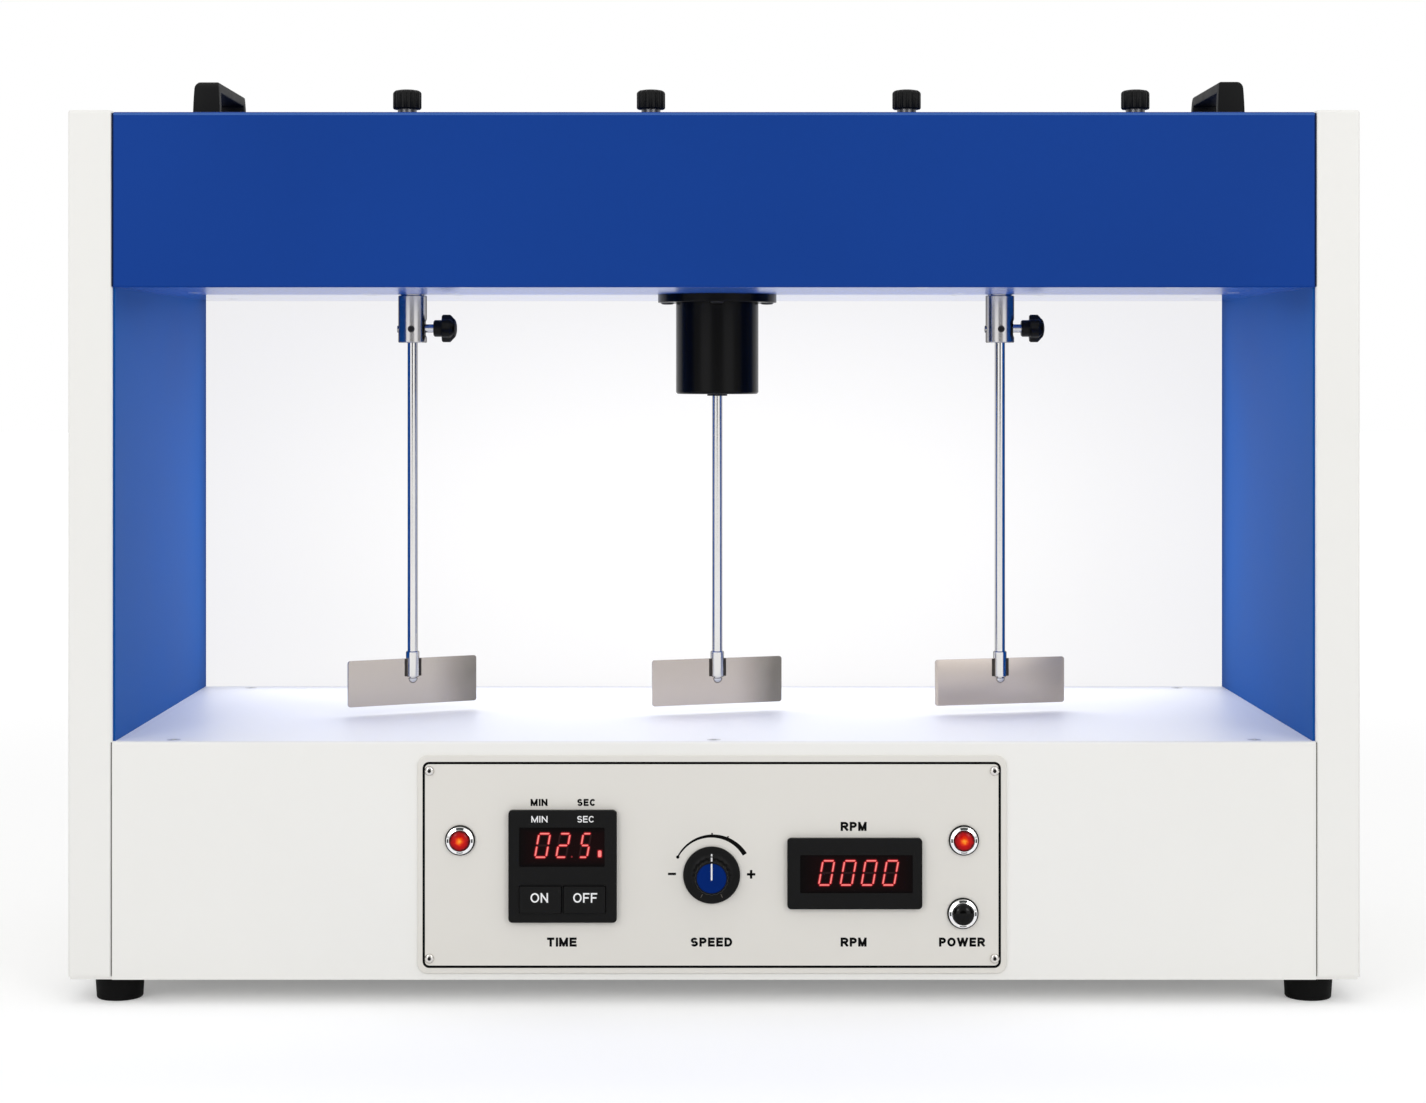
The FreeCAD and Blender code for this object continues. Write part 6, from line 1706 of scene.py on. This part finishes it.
@dataclass
class PanelPrint:
    """What is printed on the control panel: its border, its words and the speed scale."""

    thick: float = 0.05
    border_middle: Point = (-1.15, 71.2)
    border_size: Point = (294.6, 105.0)
    border_radius: float = 3.4
    border_line: float = 1.25
    legends: tuple[Legend, ...] = (
        Legend("MIN", (-89.1, 103.0), 8.6, 3.6),
        Legend("SEC", (-65.0, 103.0), 9.3, 3.6),
        Legend("TIME", (-77.5, 31.9), 15.1, 4.6),
        Legend("SPEED", (-1.3, 31.9), 21.1, 4.6),
        Legend("RPM", (71.1, 90.8), 13.2, 4.6),
        Legend("RPM", (71.1, 31.9), 13.2, 4.6),
        Legend("POWER", (126.3, 31.9), 23.4, 4.6),
    )
    signs: tuple[tuple[Point, Point], ...] = (
        ((4.1, 1.2), (-21.4, 66.6)),
        ((4.3, 1.2), (18.9, 66.4)),
        ((1.2, 4.4), (18.9, 66.4)),
    )
    scale_middle: Point = (-1.0, 66.3)
    scale_radius: float = 19.6
    scale_start: float = -63.0
    scale_end: float = 58.5
    scale_thin: float = 0.7
    scale_thick: float = 2.4
    dot: float = 1.7
    tick_size: Point = (0.75, 0.8)
    tick_angles: Point = (0.0, 23.0)

    def build(self) -> None:
        """Builds the border, the words with the minus and the plus sign, and the scale."""
        words = Shape().join(*(legend.shape() for legend in self.legends))
        words.join(*(Shape().plate(*size, 0.1, self.thick, 1).shift(*place) for size, place in self.signs))
        drawings = (
            ("panel_border_line", self.border()),
            ("panel_lettering", words),
            ("speed_scale_arc", self.scale()),
        )
        for name, drawing in drawings:
            drawing.move(on_front(PANEL_FRONT)).piece(name, "frame", "black_plastic", BLACK_INK)

    def border(self) -> Shape:
        """Draws the border line with its round corners."""
        line = Shape().plate(*self.border_size, self.border_radius, 0, 8).hollow(self.border_line)
        return line.thicken(self.thick).shift(*self.border_middle)

    def scale(self) -> Shape:
        """Draws the arc that widens towards the fast end, with its dot and ticks.

        Returns:
            The scale.
        """
        radius, span = self.scale_radius, self.scale_end - self.scale_start
        arc = Shape().curl((radius, radius), 90 - self.scale_start, -span, self.scale_thin, 64)
        for vertex in arc.mesh.verts:
            turned = math.degrees(math.atan2(vertex.co.x, vertex.co.y)) - self.scale_start
            wide = (self.scale_thick - self.scale_thin) / 2 * turned / span
            away = math.hypot(vertex.co.x, vertex.co.y)
            vertex.co *= (away + math.copysign(wide, away - radius)) / away
        arc.thicken(self.thick)
        dot = Shape().plate(self.dot, self.dot, 0.84, self.thick, 6)
        arc.join(dot.move(round_z(-self.scale_start) @ at(0, radius, 0)))
        for angle in self.tick_angles:
            tick = Shape().plate(*self.tick_size, 0.1, self.thick, 1)
            arc.join(tick.move(round_z(-angle) @ at(0, radius + 1.2, 0)))
        return arc.shift(*self.scale_middle)


class Bar(Enum):
    """The seven bars of a figure: middle across and up, in shares of the figure, and whether it stands."""

    TOP = (0.5, 1.0, False)
    UPPER_RIGHT = (1.0, 0.75, True)
    LOWER_RIGHT = (1.0, 0.25, True)
    BOTTOM = (0.5, 0.0, False)
    LOWER_LEFT = (0.0, 0.25, True)
    UPPER_LEFT = (0.0, 0.75, True)
    MIDDLE = (0.5, 0.5, False)


DARK_BARS: dict[str, tuple[Bar, ...]] = {
    "0": (Bar.MIDDLE,),
    "2": (Bar.UPPER_LEFT, Bar.LOWER_RIGHT),
    "5": (Bar.UPPER_RIGHT, Bar.LOWER_LEFT),
}


@dataclass
class LitFigures:
    """A row of slanted seven-bar figures on a window, with the glow round each lit bar."""

    name: str
    figures: tuple[tuple[str, float, float], ...]
    bottom: float
    height: float
    bar: float = 1.15
    slant: float = 10.0
    dots: tuple[Point, ...] = ()
    dot_size: Point = (2.1, 3.7)
    faint_dots: tuple[Point, ...] = ()
    faint_size: float = 0.9
    layers: tuple[tuple[str, Finish, float, float, bool], ...] = (
        ("halo", BAR_HALO, 0.45, 0.01, True),
        ("glow", BAR_GLOW, 0.0, 0.02, True),
        ("unlit", BAR_DARK, -0.1, 0.015, False),
        ("lit", BAR_LIT, -0.24, 0.03, True),
    )

    def build(self) -> None:
        """Builds the lit bars, the two layers of glow under them and the unlit bars."""
        front = on_front(WINDOW_FRONT)
        for layer, finish, grown, thick, lit in self.layers:
            bars = self.bars(grown, thick, lit).move(front)
            bars.piece(f"{self.name}_{layer}", "frame", "red_lens", finish)
        size = self.faint_size
        faint = [Shape().plate(size, size, size / 3, 0.02, 3).shift(*place) for place in self.faint_dots]
        if faint:
            points = Shape().join(*faint).move(front)
            points.piece(f"{self.name}_faint_point", "frame", "red_lens", BAR_FAINT)

    def bars(self, grown: float, thick: float, lit: bool) -> Shape:
        """Draws the lit or the unlit bars of the whole row.

        Args:
            grown: how far each bar is widened on all sides.
            thick: the thickness of the bars.
            lit: whether the lit bars are drawn or the others.

        Returns:
            The bars as one shape.
        """
        row = Shape()
        lean = Matrix.Identity(4)
        lean[0][1] = math.tan(math.radians(self.slant))
        for figure, start, width in self.figures:
            place = at(start, self.bottom, 0) @ lean
            shown = [bar for bar in Bar if (bar in DARK_BARS[figure]) != lit]
            row.join(*(self.one_bar(bar, width, grown, thick).move(place) for bar in shown))
        width, height = (side + 2 * grown for side in self.dot_size)
        dots = self.dots if lit else ()
        return row.join(*(Shape().plate(width, height, 0.6, thick, 3).shift(*dot) for dot in dots))

    def one_bar(self, bar: Bar, width: float, grown: float, thick: float) -> Shape:
        """Draws one bar with its ends cut.

        Args:
            bar: which of the seven.
            width: the width of its figure.
            grown: how far it is widened on all sides.
            thick: its thickness.

        Returns:
            The bar.
        """
        across, up, stands = bar.value
        run = (self.height / 2 if stands else width) - self.bar * (1.2 if stands else 1.3)
        long, wide = run + 2 * grown, self.bar + 2 * grown
        size = (wide, long) if stands else (long, wide)
        place = (across * (width - self.bar), up * (self.height - self.bar))
        shape = Shape().plate(*size, min(wide, long) * 0.36, thick, 1)
        return shape.shift(self.bar / 2 + place[0], self.bar / 2 + place[1])


TIMER_FIGURES = LitFigures(
    "timer_figures",
    (("0", -91.7, 6.8), ("2", -80.9, 6.1), ("5", -69.2, 5.1)),
    bottom=75.0,
    height=13.1,
    dots=((-58.1, 77.3),),
    faint_dots=((-72.3, 75.8),),
)
SPEED_FIGURES = LitFigures(
    "speed_figures",
    tuple(("0", start, 6.9) for start in (52.6, 63.6, 74.3, 85.1)),
    bottom=60.9,
    height=13.4,
    bar=1.1,
)


@dataclass
class TimerWords:
    """The white words on the timer's bezel and on its two keys."""

    bezel_plane: float = -145.75
    key_plane: float = -147.15
    bezel: tuple[Legend, ...] = (
        Legend("MIN", (-88.7, 95.0), 8.2, 3.3, weight=0.16),
        Legend("SEC", (-65.2, 95.0), 8.6, 3.3, weight=0.16),
    )
    keys: tuple[tuple[str, str, Legend], ...] = (
        ("on_word", "on_key", Legend("ON", (-88.7, 55.3), 8.9, 4.9, weight=0.155)),
        ("off_word", "off_key", Legend("OFF", (-65.4, 55.3), 12.2, 4.9, weight=0.155)),
    )

    def build(self) -> None:
        """Builds the words."""
        words = Shape().join(*(legend.shape() for legend in self.bezel)).move(on_front(self.bezel_plane))
        words.piece("timer_lettering", "frame", "white_paint", WHITE_INK)
        for name, body, legend in self.keys:
            legend.shape().move(on_front(self.key_plane)).piece(name, body, "white_paint", WHITE_INK)


# ---------------------------------------------------------------------- studio


@dataclass(frozen=True)
class Softbox:
    """A rectangular lamp aimed at the bay, with its place in degrees and metres and its power in watts."""

    name: str
    azimuth: float
    elevation: float
    distance: float
    size: Point
    power: float
    target: Triple = (0.0, 0.0, 0.24)
    mirrored: bool = True

    def build(self) -> None:
        """Builds the lamp and aims it."""
        light = bpy.data.lights.new(self.name, "AREA")
        light.shape = "RECTANGLE"
        light.size, light.size_y = self.size
        light.energy = self.power
        lamp = bpy.data.objects.new(self.name, light)
        lamp.visible_camera = False
        lamp.visible_glossy = self.mirrored
        bpy.context.scene.collection.objects.link(lamp)
        turn, rise = math.radians(self.azimuth), math.radians(self.elevation)
        away = Vector((math.sin(turn) * math.cos(rise), -math.cos(turn) * math.cos(rise), math.sin(rise)))
        lamp.location = Vector(self.target) + away * self.distance
        lamp.rotation_euler = away.to_track_quat("Z", "Y").to_euler()
        LOG.info("%s: %.2f W at %.0f degrees", self.name, self.power, self.azimuth)


@dataclass
class Studio:
    """The pale floor, the white surroundings and the soft lamps."""

    floor_size: float = 30.0
    floor_paper: Colour = (0.86, 0.86, 0.86)
    floor_levels: Point = (0.22, 0.5)
    floor_reach: Point = (0.6, 3.0)
    soft_level: float = 0.8
    dim_level: float = 0.16
    dim_span: Point = (0.93, 0.978)
    ahead_span: Point = (-0.1, 0.1)
    band_span: Point = (0.24, 0.34)
    band_level: float = 1.6
    flag_span: Point = (0.68, 0.78)
    flag_level: float = 0.2
    lamps: tuple[Softbox, ...] = (
        Softbox("left_softbox", -32.0, 20.0, 3.0, (0.8, 0.8), 9.0),
        Softbox("right_softbox", 30.0, 20.0, 3.0, (0.8, 0.8), 9.0),
        Softbox("top_softbox", 0.0, 80.0, 2.0, (1.6, 1.2), 3.0),
        Softbox("bay_glow", 180.0, 0.0, 1.1172, (0.58, 0.2), 0.8, (0.0, -1.0, 0.25), False),
        Softbox("deck_glow", 0.0, 86.0, 0.225, (0.58, 0.14), 0.19, (0.0, -0.06, 0.135), False),
    )

    def build(self) -> None:
        """Builds the floor, the world and the lamps."""
        self.floor()
        self.world()
        for lamp in self.lamps:
            lamp.build()

    def floor(self) -> None:
        """Lays the floor, which shows as white and keeps the object's shadow."""
        mesh = bmesh.new()
        bmesh.ops.create_grid(mesh, x_segments=1, y_segments=1, size=self.floor_size / 2)
        data = bpy.data.meshes.new("studio_floor")
        mesh.to_mesh(data)
        mesh.free()
        material = bpy.data.materials.new("studio_floor_paper")
        material.use_nodes = True
        sheet = NodeSheet(material.node_tree)
        seen = sheet.add("ShaderNodeLightPath", output="Is Camera Ray")
        mirrored = sheet.add("ShaderNodeLightPath", output="Is Glossy Ray")
        paper = sheet.add("ShaderNodeBsdfDiffuse", None, {"Color": self.floor_paper})
        level = sheet.place("X").away(sheet.place("Y")).eased(*self.floor_reach, *self.floor_levels)
        lift = sheet.add("ShaderNodeEmission", None, {"Strength": seen.above(mirrored) * level})
        both = sheet.add("ShaderNodeAddShader", None, {0: paper, 1: lift})
        sheet.add("ShaderNodeOutputMaterial", None, {"Surface": both})
        data.materials.append(material)
        floor = bpy.data.objects.new("studio_floor", data)
        bpy.context.scene.collection.objects.link(floor)

    def world(self) -> None:
        """Makes the surroundings: white where seen, dim ahead in reflections, with bright and dark bands."""
        world = bpy.data.worlds.new("studio_surroundings")
        world.use_nodes = True
        bpy.context.scene.world = world
        sheet = NodeSheet(world.node_tree)
        direction = sheet.add("ShaderNodeTexCoord", output="Generated")
        frontal = 0 - sheet.add("ShaderNodeSeparateXYZ", None, {0: direction}, "Y")
        sideways = abs(sheet.add("ShaderNodeSeparateXYZ", None, {0: direction}, "X"))
        ahead = frontal.eased(*self.ahead_span)
        open_air = frontal.eased(*self.dim_span, 1.0, self.dim_level)
        lifted = 1 + sideways.eased(*self.band_span) * ahead * (self.band_level - 1)
        flags = sideways.eased(*self.flag_span) * ahead
        mirrored = open_air * lifted * (1 - flags * (1 - self.flag_level / self.band_level))
        seen = sheet.add("ShaderNodeLightPath", output="Is Camera Ray")
        through = sheet.add("ShaderNodeLightPath", output="Is Transmission Ray")
        glossy = sheet.add("ShaderNodeLightPath", output="Is Glossy Ray")
        shown = seen.above(through)
        level = shown + glossy * mirrored + (1 - shown.above(glossy)) * self.soft_level
        back = sheet.add("ShaderNodeBackground", None, {"Color": (1.0, 1.0, 1.0), "Strength": level})
        sheet.add("ShaderNodeOutputWorld", None, {"Surface": back})


@dataclass
class Viewpoint:
    """The camera, level with the bay, with a view that reaches further down than up."""

    place: Triple = (0.0, -1592.75, 319.2)
    lens: float = 71.9
    drop: float = -0.1217
    sideways: float = -0.0007

    def build(self) -> None:
        """Builds the camera and makes it the scene's own."""
        camera = bpy.data.cameras.new("front_camera")
        camera.lens = self.lens
        camera.sensor_fit = "HORIZONTAL"
        camera.shift_x = self.sideways
        camera.shift_y = self.drop
        camera.clip_end = 100.0
        holder = bpy.data.objects.new("front_camera", camera)
        bpy.context.scene.collection.objects.link(holder)
        holder.location = Vector(self.place) * MM
        holder.rotation_euler = (math.radians(90), 0, 0)
        bpy.context.scene.camera = holder


def main() -> None:
    """Loads the frame, dresses it, and builds the studio and the camera."""
    logging.basicConfig(level=logging.INFO, format="%(name)s: %(message)s")
    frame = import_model()
    bpy.context.scene.view_settings.view_transform = "Standard"
    Casework().build(frame["nodes"])
    assemblies = (
        BridgeHandles(),
        Seams(),
        PAN_HEAD_SCREWS,
        PANEL_SCREWS,
        StirringRods(),
        GrubScrews(),
        LidKnobs(),
        ClampKnobs(),
        SpeedDial(),
        PanelLights(),
        PanelPrint(),
        TIMER_FIGURES,
        TimerWords(),
        SPEED_FIGURES,
        Studio(),
        Viewpoint(),
    )
    for assembly in assemblies:
        assembly.build()


if __name__ == "__main__":
    main()
